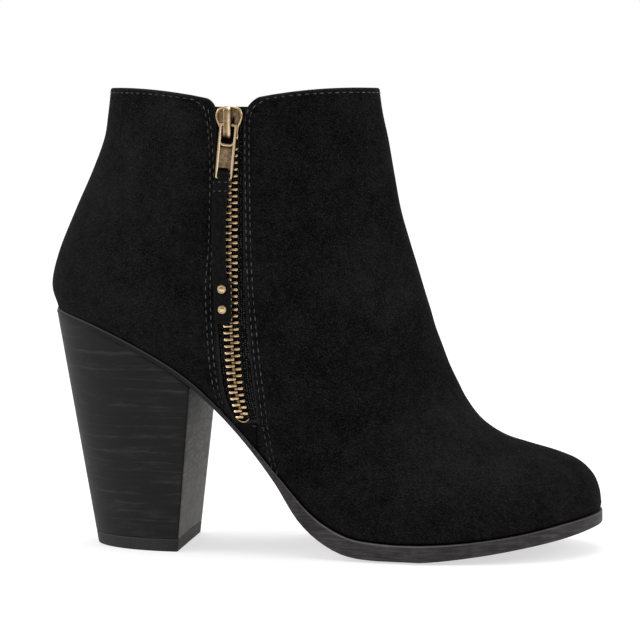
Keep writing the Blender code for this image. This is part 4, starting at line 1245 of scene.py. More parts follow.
def stitch_shapes(path, normals, sizes, scale=1.0):
    """Stitches along a path: each a thread that rises from the surface and sinks again,
    its height a parabola and its round section narrowing to both ends."""
    pitch, length = sizes.stitch_pitch / MM * scale, sizes.stitch_length / MM * scale
    whole = lengths_along(path)[-1]
    count = int(whole / pitch)
    centres = (np.arange(count) + 0.5) * whole / count
    middle = by_length(path, centres)
    ahead = unit(by_length(path, centres + 0.5) - by_length(path, centres - 0.5))
    out = unit(by_length(path, centres, normals))
    aside = np.cross(ahead, out)
    t = column(STITCH, "along")
    radius = sizes.stitch_width / MM / 2 * column(STITCH, "thickness")
    rise = STITCH_RISE * (1 - t**2) - STITCH_SINK
    turn = full_turn(STITCH_SIDES)
    ring = aside[:, None, None] * np.cos(turn)[:, None] + out[:, None, None] * np.sin(turn)[:, None]
    line = middle[:, None] + ahead[:, None] * (t * length / 2)[:, None] + out[:, None] * rise[:, None]
    return repeated(line[:, :, None] + ring * radius[:, None, None])


def line_path(name, below_collar):
    """Stitch line beside the opening, upwards from the sole to a length below the collar."""
    places = np.linspace(CORNER - 6, COLLAR, 700)
    share = crossing_share(places, lambda z: stitch_line(name, z))
    path = upper_points(places, share[:, None], OUTER)[:, 0]
    on_upper = (share > 0.02) & (share < 0.985)
    under = path[:, 2] < COLLAR_Z - full_dip(path[:, 0], OUTER) - below_collar
    path = path[on_upper & under]
    return path, outer_side().at(path[:, 0], path[:, 2])[1]


def collar_path():
    """Long stitch row: up beside the opening's front, round below the collar, and down
    beside the opening's rear."""
    form = upper_form()
    low = np.searchsorted(form.places, COLLAR - NEAR_COLLAR[-1])
    low_points, high_points = form.sheet[low], form.sheet[-1]
    drop = COLLAR_STITCH / np.linalg.norm(high_points - low_points, axis=-1, keepdims=True)
    path = high_points + (low_points - high_points) * drop
    normals = form.normals[-8]
    outer = form.inward == OUTER
    ahead = outer & (path[:, 0] > stitch_line("front_far", path[:, 2]) + ROW_TURN)
    behind = outer & (path[:, 0] < stitch_line("rear_far", path[:, 2]) - ROW_TURN)
    order = np.concatenate([np.flatnonzero(ahead), np.flatnonzero(~outer)[:-1], np.flatnonzero(behind)])
    up, up_normals = line_path("front_far", COLLAR_STITCH + ROW_TURN)
    down, down_normals = line_path("rear_far", COLLAR_STITCH + ROW_TURN)
    points = np.concatenate([up, path[order], down[::-1]])
    return points, np.concatenate([up_normals, normals[order], down_normals[::-1]])


def tack_path():
    """Short row across the foot of the opening."""
    share = np.linspace(0, 1, 9)
    (x0, z0), (x1, z1) = FOOT_TACK
    return outer_side().at(x0 + (x1 - x0) * share, z0 + (z1 - z0) * share)


def make_stitches(finishes, sizes):
    """All stitches of the upper: the rows near the opening, the long row and the tack."""
    paths = [line_path(name, COLLAR_STITCH + NEAR_ROW_GAP) for name in ("rear_near", "front_near")]
    shapes = [stitch_shapes(*path, sizes) for path in (*paths, collar_path(), tack_path())]
    make_piece("upper_stitches", joined(*shapes), [finishes["thread"]], "boot")


# Sole and heel

def sole_stations(count, toe_grow, heel_grow):
    """Places along the sole out to its grown outline, closer at both round ends."""
    t = np.linspace(0, 1, count)
    spread = t - 0.85 * np.sin(2 * math.pi * t) / (2 * math.pi)
    low, high = HEEL_END - heel_grow, TOE_END + toe_grow
    return low + (high - low) * spread


SOLE_STATIONS, INSOLE_STATIONS, FOREFOOT_THICKENING = 150, 90, 4.0


def sole_ring(depth_share, inset, across):
    """Closed ring round the sole: its outer side from heel to toe and its inner side back.
    depth_share runs from 0 on top to 1 below, inset draws the outline in and across
    narrows the ring towards the foot's axis. Below, the forefoot's tread bulges as a
    parabola beside its flat middle, and the toe is undercut as one along the sole."""
    toe_grow, heel_grow = WELT_MARGIN - inset, SEAT_MARGIN - inset
    x = sole_stations(SOLE_STATIONS, toe_grow, heel_grow)
    toe_share = np.clip((x - BALL_X) / (x[-1] - BALL_X), 0, 1)
    thickness = read_table(SOLE, "x", "thickness", np.clip(x, HEEL_END, TOE_END))
    forefoot = np.clip((thickness - SOLE[0].thickness) / FOREFOOT_THICKENING, 0, 1)
    rise = TREAD_CROWN * np.clip((across - TREAD_FLAT_SHARE) / (1 - TREAD_FLAT_SHARE), 0, 1) ** 2
    under_x = x - TOE_UNDERCUT * toe_share**2
    sides = []
    for inward in (OUTER, INNER):
        top = sole_layer_points(x, 0.0, toe_grow, heel_grow, inward * across)
        deep = thickness + TREAD_CROWN * forefoot
        low = sole_layer_points(under_x, deep, toe_grow - TOE_UNDERCUT, heel_grow, inward * across)
        low[:, 2] = np.maximum(low[:, 2] + rise * forefoot, rise)
        sides.append(top + (low - top) * depth_share)
    return np.concatenate([sides[0], sides[1][::-1]])


def sole_layer_points(x, depth, toe_grow, heel_grow, across):
    """Points at a depth under the sole's line, at a share of its grown half-width."""
    down_x, down_z = sole_normal(x)
    y = axis_y(x) + half_width(x, toe_grow, heel_grow) * across
    return np.stack([x + down_x * depth, y, sole_height(x) + down_z * depth], axis=-1)


SOLE_RINGS = table(
    "depth_share inset across",
    (0.0, 0.6, 0.0),
    (0.0, 0.6, 0.6),
    (0.0, 0.6, 1.0),
    (0.0, 0.25, 1.0),
    (0.02, 0.08, 1.0),
    (0.07, 0.0, 1.0),
    (0.3, 0.0, 1.0),
    (0.55, 0.0, 1.0),
    (0.8, 0.0, 1.0),
    (0.92, 0.02, 1.0),
    (0.98, 0.15, 1.0),
    (1.0, 0.45, 1.0),
    (1.0, 0.6, 0.9),
    (1.0, 0.6, 0.75),
    (1.0, 0.6, 0.6),
    (1.0, 0.6, 0.3),
    (1.0, 0.6, 0.0),
)
FIRST_TREAD_RING = 11


def make_outsole(finishes):
    """Rings of the sole's section from its top over the trimmed edge to the tread."""
    rings = np.stack([sole_ring(*ring) for ring in SOLE_RINGS])
    rows, columns = rings.shape[:2]
    ids = np.repeat(np.arange(rows - 1) >= FIRST_TREAD_RING, columns)
    marks = {"edge_depth": np.repeat(column(SOLE_RINGS, "depth_share"), columns)}
    materials = [finishes["sole"], finishes["tread"]]
    shape = rings.reshape(-1, 3), grid_quads(rows, columns, wrap=True)
    make_piece("outsole_body", shape, materials, "boot", ["outsole"], ids, marks)


INSOLE_INSET, INSOLE_HEEL_EASE, INSOLE_LOW, INSOLE_HIGH = 3.2, 0.6, -0.35, -2.3
INSOLE_RINGS = table(
    "depth inset across",
    (INSOLE_LOW, INSOLE_INSET + 0.3, 0.0),
    (INSOLE_LOW, INSOLE_INSET + 0.3, 1.0),
    (INSOLE_LOW - 0.4, INSOLE_INSET, 1.0),
    (INSOLE_HIGH + 0.5, INSOLE_INSET, 1.0),
    (INSOLE_HIGH, INSOLE_INSET + 0.6, 1.0),
    (INSOLE_HIGH + 0.3, INSOLE_INSET + 0.6, 0.8),
    (INSOLE_HIGH + 0.4, INSOLE_INSET + 0.6, 0.4),
    (INSOLE_HIGH + 0.4, INSOLE_INSET + 0.6, 0.0),
)


def make_insole(finishes):
    """The sock on the sole, its top a shallow dish with a rounded edge."""
    rings = []
    for ring in INSOLE_RINGS:
        grow = (-ring.inset, -ring.inset + INSOLE_HEEL_EASE)
        x = sole_stations(INSOLE_STATIONS, *grow)
        sides = [sole_layer_points(x, ring.depth, *grow, s * ring.across) for s in (OUTER, INNER)]
        rings.append(np.concatenate([sides[0], sides[1][::-1]]))
    rings = np.stack(rings)
    shape = rings.reshape(-1, 3), grid_quads(*rings.shape[:2], wrap=True)
    make_piece("insole_sock", shape, [finishes["lining"]], "boot", ["insole"])


HEEL_TURN_POINTS, BREAST_POINTS = 44, 9
HEEL_EDGE = 0.45


def heel_half(foot):
    """Half outline of the heel from the middle of its breast round to its back, as x, y
    and z: half an ellipse on the floor, or the sole's plan under the seat."""
    turn = np.linspace(0, 1, HEEL_TURN_POINTS) ** 1.25 * math.pi / 2
    back = np.sin(turn)
    if foot:
        x = BREAST_FOOT_X - (BREAST_FOOT_X - HEEL_FOOT_BACK) * back
        return x, HEEL_FOOT_HALF_WIDTH * np.cos(turn), np.zeros_like(x)
    thickness = SOLE[0].thickness + SEAT_GAP
    breast_z = sole_height(BREAST_FOOT_X) - thickness
    lean_back = sole_normal(BREAST_FOOT_X)[0] * thickness
    breast_x = BREAST_FOOT_X + BREAST_LEAN * breast_z - lean_back
    x = breast_x - (breast_x - HEEL_END - HEEL_INSET) * back
    down_x, down_z = sole_normal(x)
    y = half_width(x, -HEEL_INSET, -HEEL_INSET)
    return x + down_x * thickness, y, sole_height(x) + down_z * thickness


def heel_loop(foot):
    """Closed outline of the heel: the breast, the outer side, the back and the inner side.
    The breast's corner is eased by a small chamfer, and its line slants: it moves forward
    in proportion to the way across to the inner corner, and follows the seat down."""
    x, y, z = heel_half(foot)
    breast = np.linspace(0, 1, BREAST_POINTS)
    breast_y = breast * (y[0] - HEEL_EDGE)
    half_x = np.concatenate([np.full(BREAST_POINTS, x[0]), [x[0] - HEEL_EDGE * 0.3], x[1:]])
    half_y = np.concatenate([breast_y, [y[0] - HEEL_EDGE * 0.3], y[1:]])
    half_z = np.concatenate([np.full(BREAST_POINTS, z[0]), [z[0]], z[1:]])
    half = np.stack([half_x, -half_y, half_z], axis=-1)
    loop = np.concatenate([half, half[-2:0:-1] * np.array([1.0, -1.0, 1.0])])
    inwards = np.clip((loop[:, 1] / y[0] + 1) / 2, 0, 1)
    inwards *= smooth_step(loop[:, 0], x[0] - SLANT_REACH, x[0])
    ahead = loop[:, 0] + (FOOT_SLANT if foot else SEAT_SLANT) * inwards
    if not foot:
        loop[:, 2] += sole_height(ahead) - sole_height(loop[:, 0])
    loop[:, 0] = ahead
    return loop


def heel_rings(levels, insets):
    """Rings of the heel's block. A level is a height share of each upright line, from 0 on
    the floor to 1 at the seat; insets draw a ring in towards its middle line."""
    foot, seat = heel_loop(True), heel_loop(False)
    rings = []
    for level, inset in zip(levels, insets):
        ring = foot + (seat - foot) * np.asarray(level)[..., None]
        middle = ring.copy()
        middle[:, 1] = 0.0
        middle[:, 0] = ring[:, 0] + (ring[:, 0].mean() - ring[:, 0]) * 0.5
        span = np.linalg.norm(ring - middle, axis=1, keepdims=True)
        rings.append(ring + (middle - ring) * np.clip(inset / span, 0, 1))
    return np.stack(rings)


def block_shape(levels, insets):
    """Block between rings, closed at both ends by quads from side to side."""
    rings = heel_rings(levels, insets)
    count, columns = rings.shape[:2]
    quads = grid_quads(count, columns, wrap=True)
    caps = []
    for end in (0, count - 1):
        ring = np.arange(columns) + end * columns
        left, right = ring[: columns // 2], ring[: columns // 2 - 1 : -1]
        caps.append(np.stack([left[:-1], left[1:], right[1:], right[:-1]], axis=-1))
    return rings.reshape(-1, 3), np.concatenate([quads, *caps])


def breast_ids(shape, rings, columns):
    """Finish 1 for the quads of the breast, 0 for the rest."""
    column_of = np.tile(np.arange(columns), rings - 1)
    front = (column_of < BREAST_POINTS) | (column_of >= columns - BREAST_POINTS)
    return np.concatenate([front, np.zeros(len(shape[1]) - len(front), bool)])


HEEL_ROWS, HEEL_FOOT_GAP, HEEL_FOOT_ROUND, SEAT_ROUND_FROM = 40, 0.05, 0.35, 0.985


def make_heel(finishes):
    """Stacked heel: a rounded edge over the top lift, even rows and an eased edge on top."""
    seat_z = heel_loop(False)[:, 2]
    base = (TOP_LIFT_HEIGHT + HEEL_FOOT_GAP) / seat_z
    step = HEEL_FOOT_ROUND / seat_z
    rise = [base, base + step * 0.3]
    rise += [base + step + (SEAT_ROUND_FROM - base - step) * t for t in np.linspace(0, 1, HEEL_ROWS)]
    rise += [np.full_like(seat_z, level) for level in (0.996, 1.0)]
    insets = [0.35, 0.1] + [0.0] * HEEL_ROWS + [0.03, 0.15]
    shape = block_shape(rise, insets)
    ids = breast_ids(shape, len(rise), len(seat_z))
    materials = [finishes["heel"], finishes["breast"]]
    make_piece("heel_stack", shape, materials, "boot", ["heel"], ids)


LIFT_RINGS = table(
    "height inset",
    (0.0, 0.5),
    (0.12, 0.15),
    (0.5, 0.0),
    (1.5, 0.0),
    (3.0, 0.0),
    (4.2, 0.0),
    (4.4, 0.07),
    (4.6, 0.07),
    (4.8, 0.0),
    (4.92, 0.05),
    (TOP_LIFT_HEIGHT, 0.3),
)


def make_top_lift(finishes):
    """Top lift: the foot of the heel's block, with a fine groove below its upper edge."""
    seat_z = heel_loop(False)[:, 2]
    shape = block_shape([ring.height / seat_z for ring in LIFT_RINGS], column(LIFT_RINGS, "inset"))
    make_piece("heel_top_lift", shape, [finishes["rubber"]], "boot", ["top_lift"])


# Zip

def zip_frames(heights, lift):
    """Points on the zip's middle line at heights, lifted off the suede, with unit vectors
    across it towards the toe, down along it and out of the boot."""
    path, normals = outer_side().at(zip_line("middle_x", heights), heights)
    down = unit(np.gradient(path, axis=0))
    down *= np.sign(-down[:, 2:3])
    across = unit(np.cross(normals, down))
    across *= np.sign(across[:, :1])
    return path + normals * lift, across, down, normals


def chain_frames(lengths, lift):
    """Frames at lengths down the zip from the top of its chain."""
    heights = np.linspace(CHAIN_TOP, ZIP[0].z, 260)
    path = zip_frames(heights, 0.0)[0]
    lifted, *axes = zip_frames(heights, lift)
    return by_length(path, lengths, lifted), *(unit(by_length(path, lengths, axis)) for axis in axes)


def tooth_count():
    """Teeth that the chain has room for: its length over half the pitch."""
    heights = np.linspace(CHAIN_TOP, CHAIN_FOOT, 200)
    return int(lengths_along(zip_frames(heights, 0.0)[0])[-1] / (TOOTH_PITCH / 2))


TAPE_COLUMNS, TAPE_ROWS = 61, 150
TAPE_DEPTH, TAPE_THICKNESS, BEAD_ASIDE, BEAD_HEIGHT = 2.15, 0.7, 2.3, 0.55


def make_tape(finishes):
    """Zip tape behind the opening, with a corded bead beside the teeth and a slit between
    its two halves."""
    share = np.linspace(0, 1, TAPE_COLUMNS)
    rear, front = ZIP[-1].rear_x - TAPE_OVERLAP, ZIP[-1].front_x + TAPE_OVERLAP
    x = rear + (front - rear) * share
    low = np.maximum(sole_height(x) + TAPE_SOLE_CLEARANCE, ZIP[0].z)
    level = np.linspace(0, 1, TAPE_ROWS)[:, None]
    z = low + (TAPE_TOP - low) * level
    x = np.broadcast_to(x, z.shape)
    points, normals = outer_side().at(x, z)
    aside = x - zip_line("middle_x", z)
    bead = BEAD_HEIGHT * bell(np.abs(aside) - BEAD_ASIDE, 0.5) - 0.25 * bell(aside, 0.25)
    outside = points + normals * (bead - TAPE_DEPTH)[:, :, None]
    inside = points - normals * (TAPE_DEPTH + TAPE_THICKNESS)
    filled = np.ones((TAPE_ROWS - 1, TAPE_COLUMNS - 1), bool)
    shape = slab(outside, inside, filled, False, np.zeros(TAPE_ROWS - 1, bool))
    place = np.stack([aside, z, np.zeros_like(z)], axis=-1).reshape(-1, 3)
    marks = {"tape_place": np.tile(place, (2, 1))}
    make_piece(
        "zip_tape_weave", shape, [finishes["tape"]], "boot", ["zip_tape"], marks=marks
    )


def make_brass(name, shape, patina, finishes, body, node):
    """A piece of brass that stands for a node, with the patina and painted light of each point."""
    marks = {"patina": np.ravel(patina)}
    make_piece(name, shape, [finishes["brass"]], body, [node], marks=marks)


TOOTH = table(
    "aside half_along half_out patina",
    (-0.62, 0.0, 0.0, 0.9),
    (-0.60, 0.36, 0.38, 0.7),
    (-0.45, 0.55, 0.62, 0.4),
    (0.30, 0.59, 0.74, 0.25),
    (0.75, 0.52, 0.68, 0.6),
    (1.15, 0.54, 0.74, 0.2),
    (2.30, 0.59, 0.80, -0.15),
    (2.85, 0.55, 0.70, 0.1),
    (3.02, 0.38, 0.42, 0.6),
    (3.05, 0.0, 0.0, 0.8),
)
TOOTH_DEPTH, FIRST_TOOTH, TOOTH_SIDES, TOOTH_POWER = 1.0, 6, 10, 3.2
REAR_TOOTH_HIGHLIGHT = -0.25


def make_teeth(finishes):
    """Brass teeth below the slider, each a rounded bar with a waist behind its head, to the
    rear and to the front in turn at half the pitch."""
    number = np.arange(FIRST_TOOTH, tooth_count())
    frames = chain_frames((number + 0.5) * TOOTH_PITCH / 2, -TOOTH_DEPTH)
    middle, across, down, out = (vectors[:, None, None, :] for vectors in frames)
    side = np.where(number % 2 == 0, -1.0, 1.0)[:, None, None, None]
    wide, high = loop_section(TOOTH_SIDES, TOOTH_POWER)
    aside = column(TOOTH, "aside")[None, :, None, None]
    half_along = column(TOOTH, "half_along")[None, :, None, None] * wide[None, None, :, None]
    half_out = column(TOOTH, "half_out")[None, :, None, None] * high[None, None, :, None]
    shapes = middle + across * aside * side + down * half_along + out * half_out
    # head: painted shade over part of the front teeth, painted highlight over the rear teeth; shade below:
    # painted shade away from each tooth's top
    head = np.where(side > 0, 0.4 * smooth_step(aside, 1.3, 0.5), REAR_TOOTH_HIGHLIGHT)
    patina = np.broadcast_to(column(TOOTH, "patina")[None, :, None] + head[:, :, 0], shapes.shape[:3])
    shade = patina + 0.45 * (1 - high[None, None, :]) ** 2 + 0.12
    make_brass("zip_teeth", repeated(shapes), shade, finishes, "boot", "zip_chain")


STOP_HALF_WIDTH, STOP_SAG, STOP_RISE, STOP_RADIUS, STOP_PATINA = 2.8, 1.4, 0.3, 0.21, 0.3


def make_stop(finishes):
    """Bottom stop: a bent brass bar that hangs below the last teeth as a parabola."""
    start = np.array([tooth_count() * TOOTH_PITCH / 2 + 0.5])
    middle, across, down, out = (vectors[0] for vectors in chain_frames(start, -TOOTH_DEPTH + 0.1))
    share = np.linspace(-1, 1, 13)
    sag = STOP_SAG * (1 - share**2) - STOP_RISE
    path = middle + across * (STOP_HALF_WIDTH * share)[:, None] + down * sag[:, None]
    radii = STOP_RADIUS * np.sqrt(np.clip(1 - np.abs(share) ** 6, 0.15, 1))
    ahead = unit(np.gradient(path, axis=0))
    wide = unit(np.cross(ahead, out))
    shape = sweep(path, wide, np.broadcast_to(out, path.shape), radii, radii, 12, 2.5)
    patina = np.full(shape[0].shape[:2], STOP_PATINA)
    make_brass("zip_bottom_stop", shape, patina, finishes, "boot", "zip_stop")


def slider_axes():
    """Origin on the suede at the slider's middle, with axes across, up and out."""
    x = float(zip_line("middle_x", SLIDER_Z))
    origin, out = (v[0] for v in outer_side().at([x], [SLIDER_Z]))
    up = unit(np.array([0.0, 0.0, 1.0]) - out * out[2])
    return origin + out * SLIDER_LIFT, np.cross(up, out), up, out


def in_axes(axes, local):
    """Local points across, up and out of a frame of axes."""
    origin, across, up, out = axes
    return origin + local[..., :1] * across + local[..., 1:2] * up + local[..., 2:] * out


SLIDER_RINGS = table(
    "scale height patina",
    (0.0, -1.6, 1.0),
    (0.86, -1.6, 1.0),
    (0.97, -1.2, 0.6),
    (1.0, -0.6, 0.4),
    (1.0, 0.65, 0.3),
    (0.98, 0.9, 0.0),
    (0.94, 1.0, -0.25),
    (0.90, 0.95, 0.2),
    (0.87, 0.72, 0.9),
    (0.80, 0.62, 1.0),
    (0.65, 0.63, 0.85),
    (0.5, 0.65, 0.8),
    (0.35, 0.67, 0.9),
    (0.2, 0.69, 1.0),
    (0.0, 0.7, 1.0),
)
# The bridge, the painted shadow in the gap beside it on the slider's plate, and the painted shadow in the
# mouth of the tail
BRIDGE_HALF_WIDTH, BRIDGE_HALF_HEIGHT, BRIDGE_ASIDE = 1.4, 0.45, -0.3
BRIDGE_POINTS, BRIDGE_SIDES, BRIDGE_POWER = 40, 16, 3.6
GAP_ASIDE, GAP_WIDTH, GAP_TOP = 1.5, 0.4, 1.8
MOUTH_FROM, MOUTH_FULL, MOUTH_HALF_WIDTH, DEEP_SHADOW = 3.2, 5.2, 3.1, 2.0
# Painted light across the bridge by the share of its width: dark edges, painted shade on the left and a
# painted highlight band right of its middle
BRIDGE_SHADES = table(
    "across patina",
    (-1.0, 1.0),
    (-0.82, 0.2),
    (-0.58, 0.85),
    (0.0, 0.6),
    (0.58, -0.5),
    (0.82, 0.1),
    (1.0, 1.2),
)


def slider_outline(count=40):
    """Closed outline of the slider's head and tail, from its half-widths by height."""
    height, wide = column(SLIDER_OUTLINE, "height"), column(SLIDER_OUTLINE, "half_width")
    steps = lengths_along(np.stack([height, wide], axis=-1))
    at = np.linspace(0, steps[-1], count)
    half = np.stack([smooth_curve(at, steps, wide), smooth_curve(at, steps, height)], axis=-1)
    half[:, 0] = np.clip(half[:, 0], 0, None)
    return np.concatenate([half, half[-2:0:-1] * np.array([-1.0, 1.0])])


def make_slider(finishes):
    """Slider: a rimmed plate in rings of its outline, and a bridge swept over it. Painted shadow
    fills the mouth of the tail and the gap beside the bridge, and the bridge carries a painted
    highlight in a band along it and painted shade at its lower end."""
    axes = slider_axes()
    outline = slider_outline()
    rings = np.stack([
        np.insert(outline * ring.scale, 2, ring.height, axis=1) for ring in SLIDER_RINGS
    ])
    plate = in_axes(axes, rings), grid_quads(*rings.shape[:2], wrap=True)
    at = np.linspace(0, len(BRIDGE) - 1, BRIDGE_POINTS)
    along = smooth_curve(at, np.arange(len(BRIDGE)), column(BRIDGE, "along"))
    height = smooth_curve(at, np.arange(len(BRIDGE)), column(BRIDGE, "height"))
    path = in_axes(axes, np.stack([np.full_like(at, BRIDGE_ASIDE), along, height], axis=-1))
    ahead = unit(np.gradient(path, axis=0))
    across = np.broadcast_to(axes[1], path.shape)
    rim = unit(np.cross(across, ahead))
    sizes = np.full(BRIDGE_POINTS, BRIDGE_HALF_WIDTH), np.full(BRIDGE_POINTS, BRIDGE_HALF_HEIGHT)
    bridge = sweep(path, across, rim, *sizes, BRIDGE_SIDES, BRIDGE_POWER)
    mouth = smooth_step(-outline[:, 1], MOUTH_FROM, MOUTH_FULL) * (np.abs(outline[:, 0]) < MOUTH_HALF_WIDTH)
    ring_patina_and_shadow = np.maximum(column(SLIDER_RINGS, "patina")[:, None], DEEP_SHADOW * mouth)
    gap = bell(rings[:, :, 0] - GAP_ASIDE, GAP_WIDTH) * smooth_step(GAP_TOP - rings[:, :, 1], 0.0, 0.8)
    ring_patina_and_shadow += DEEP_SHADOW * gap * (rings[:, :, 2] > 0)
    wide = loop_section(BRIDGE_SIDES, BRIDGE_POWER)[0]
    shade = np.interp(wide, column(BRIDGE_SHADES, "across"), column(BRIDGE_SHADES, "patina"))
    # lower_end: painted shade at the bridge's lower end
    lower_end = smooth_step(with_ends(along), -4.6, -5.8)
    bridge_painted_light = shade[None, :] + 1.2 * lower_end[:, None]
    patina = np.concatenate([ring_patina_and_shadow.ravel(), bridge_painted_light.ravel()])
    make_brass("zip_slider_body", joined(plate, bridge), patina, finishes, "boot", "zip_slider")


def pull_axes():
    """Frame of the pull at its axle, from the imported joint: across, up and out."""
    joint = frame["joints"][0]
    origin = (np.array(joint["pos_m"]) - FOOTPRINT) / MM
    across = -unit(np.array(joint["axis"], float))
    out = outer_side().at([origin[0]], [origin[2]])[1][0]
    out = unit(out - across * (out @ across))
    return origin, across, np.cross(out, across), out


SIDEWAYS, UPRIGHT = (1.0, 0.0, 0.0), (0.0, 1.0, 0.0)
BAR_SIDES, BAR_POINTS, PLATE_POINTS = 16, 17, 24


def local_sweep(axes, points, across, half_width, half_height, power):
    """Bar along points drawn in a frame, its sections wide along one of the frame's axes."""
    count = len(points)
    path = in_axes(axes, points)
    wide = in_axes(axes, np.tile(across, (count, 1))) - axes[0]
    out = np.broadcast_to(axes[3], path.shape)
    sizes = np.full(count, half_width), np.full(count, half_height)
    return sweep(path, wide, out, *sizes, BAR_SIDES, power)


def rounded_ends(count, share):
    """Sizes along a bar: a quarter circle up at its start, full, and down at its end."""
    t = np.linspace(0, 1, count)
    near = np.clip(np.minimum(t, 1 - t) / share, 0, 1)
    return np.sqrt(np.clip(1 - (1 - near) ** 2, 0.02, 1))


def make_pull(finishes):
    """Pull frame: two rails, an axle bar, a rounded crossbar, a sunk plate and a lower bar."""
    axes = pull_axes()
    arm = PULL_HALF_WIDTH - PULL_ARM / 2
    half = PULL_THICKNESS / 2
    parts, patina = [], []

    def add(points, across, wide, high, stain, power=4.0, lean=0.0):
        """Adds a bar; its stain darkens towards both edges, and lean paints light across it: painted
        highlight on one half, painted shade on the other.
        """
        part = local_sweep(axes, np.stack(points, axis=-1), across, wide, high, power)
        parts.append(part)
        share = loop_section(BAR_SIDES, power)[0]
        patina.append(np.tile(stain + lean * share + 0.5 * np.abs(share) ** 4, part[0].shape[0]))

    rail = np.linspace(0.6, PULL_END - 0.9, 24)
    down = np.concatenate([[0.0, 0.06, 0.2], rail, [PULL_END - 0.4, PULL_END]])
    taper = PULL_ARM / 2 * (1 - 0.35 * smooth_step(down, PULL_PLATE_END, PULL_END))
    ends = rounded_ends(len(down), 0.06)
    for side in (-1, 1):
        line = np.full_like(down, side * arm), 0.45 - down, np.zeros_like(down)
        # Rails: painted highlight on their inner halves, painted shade on their outer halves
        add(line, SIDEWAYS, taper * ends, half * ends, -0.15, lean=0.55 * side)
    t = np.linspace(-1, 1, BAR_POINTS)
    flat = np.zeros_like(t)
    add((t * arm, flat, flat), UPRIGHT, 0.5, 0.5, 0.3, 2.0)
    bend = -PULL_CROSSBAR + 2.0 * np.abs(t) ** 5
    add((t * arm, bend, flat), UPRIGHT, 0.5, half * 0.95, 0.05)
    add((t * arm, flat - PULL_BAR, flat), UPRIGHT, 0.45, 0.45, 0.5, 2.0)
    rows = np.linspace(PULL_CROSSBAR, PULL_PLATE_END, PLATE_POINTS)
    add((np.zeros_like(rows), -rows, np.full_like(rows, -0.12)), SIDEWAYS, arm, 0.33, 0.75, 8.0)
    shadow = 0.9 * bell(with_ends(rows) - PULL_CROSSBAR - 0.7, 0.45)
    patina[-1] = patina[-1] + np.repeat(shadow, BAR_SIDES)
    make_brass("zip_pull_frame", joined(*parts), np.concatenate(patina), finishes, "pull", "zip_pull")


def strap_value(name, along):
    """A column of the strap's table at lengths from the axle."""
    return np.interp(along, column(STRAP, "along"), column(STRAP, name))


def strap_points(along, lift):
    """Points of the strap's line at lengths from the axle, lifted off its back, with unit
    vectors across and out: in the pull's plane first, then laid along the suede."""
    axes = pull_axes()
    flat = np.stack([np.zeros_like(along), -along, lift - STRAP_FREE_THICKNESS / 2], axis=-1)
    free = in_axes(axes, flat)
    laid_from = in_axes(axes, np.array([0.0, -STRAP_LAID_FROM, 0.0]))
    drop = np.maximum(along - STRAP_LAID_FROM, 0.0)
    x = laid_from[0] + strap_value("aside", along)
    base, normals = outer_side().at(x, laid_from[2] - drop)
    laid = base + normals * (STRAP_LIFT + lift)[:, None]
    share = smooth_step(drop, 0.0, STRAP_LAY_LENGTH)[:, None]
    out = unit(axes[3] + (normals - axes[3]) * share)
    path = free + (laid - free) * share
    ahead = unit(np.gradient(path, axis=0))
    across = unit(np.cross(ahead, out))
    across *= np.sign(across[:, :1])
    return path, across, out


STRAP_SIDES, STRAP_POWER = 24, 5.0


def strap_sweep(along, wide, thick):
    """Leather of a half-width and a thickness along the strap's line, lying on its back."""
    path, across, out = strap_points(along, thick / 2)
    return sweep(path, across, out, wide, thick / 2, STRAP_SIDES, STRAP_POWER)


def make_strap(finishes):
    """Leather strap: a loop round the pull's lower bar, a flat body and a riveted end. Each
    point is marked with its share of the half-width or its nearness to the round end, for the
    painted highlight along the edges."""
    loop = np.linspace(STRAP[0].along, STRAP_BODY_END, 84)
    ends = rounded_ends(len(loop), 0.02)
    read_at = np.minimum(loop, STRAP_BODY_FULL)
    body = strap_sweep(loop, *(strap_value(name, read_at) * ends for name in ("half_width", "thickness")))
    tab = np.linspace(STRAP_TAB_START, STRAP[-1].along, 40)
    t = (tab - tab[0]) / (tab[-1] - tab[0])
    round_end = np.sqrt(np.clip(1 - np.clip((t - 0.84) / 0.16, 0, 1) ** 2.4, 0.02, 1))
    start = np.clip(0.82 + t * 6, 0, 1)
    full = STRAP[-2]
    wide, thick = full.half_width * round_end, full.thickness * np.clip(round_end, 0.5, 1)
    shape = joined(body, strap_sweep(tab, wide * start, thick * start))
    across = np.abs(loop_section(STRAP_SIDES, STRAP_POWER)[0])
    rows = np.concatenate([np.zeros(len(loop) + 2), [0.0], smooth_step(t, 0.75, 0.95), [1.0]])
    marks = {"edge": np.maximum(across[None, :], 0.94 * rows[:, None]).reshape(-1)}
    make_piece(
        "pull_strap_leather", shape, [finishes["strap"]], "pull", ["pull_strap"], marks=marks
    )


def make_strap_stitches(finishes, sizes):
    """Two rows of stitches across the strap, below its loop."""
    shapes = []
    for along in STRAP_STITCH_ALONG:
        line = np.linspace(along - 0.5, along + 0.5, 3)
        thick = strap_value("thickness", line)
        path, _, out = strap_points(line, thick)
        level = unit(np.array([1.0, 0.0, 0.0]) - out[1] * out[1][0])
        wide = float(strap_value("half_width", along)) + 0.3
        row = path[1] + level * np.linspace(-wide, wide, 9)[:, None]
        shapes.append(stitch_shapes(row, np.tile(out[1], (9, 1)), sizes, 0.6))
    make_piece("strap_stitches", joined(*shapes), [finishes["thread"]], "pull")


# Rivet profile by radius and height, with its mark of patina and painted light: darker at the outer rim, a
# painted highlight on the crown
RIVET = table(
    "radius height patina",
    (0.0, 0.0, 0.9),
    (1.7, 0.0, 1.2),
    (1.78, 0.15, 1.2),
    (1.74, 0.42, 1.1),
    (1.56, 0.64, 0.8),
    (1.3, 0.74, 0.15),
    (1.12, 0.72, 0.1),
    (1.02, 0.62, 0.5),
    (0.9, 0.66, 0.1),
    (0.5, 0.76, -0.1),
    (0.0, 0.8, -0.12),
)


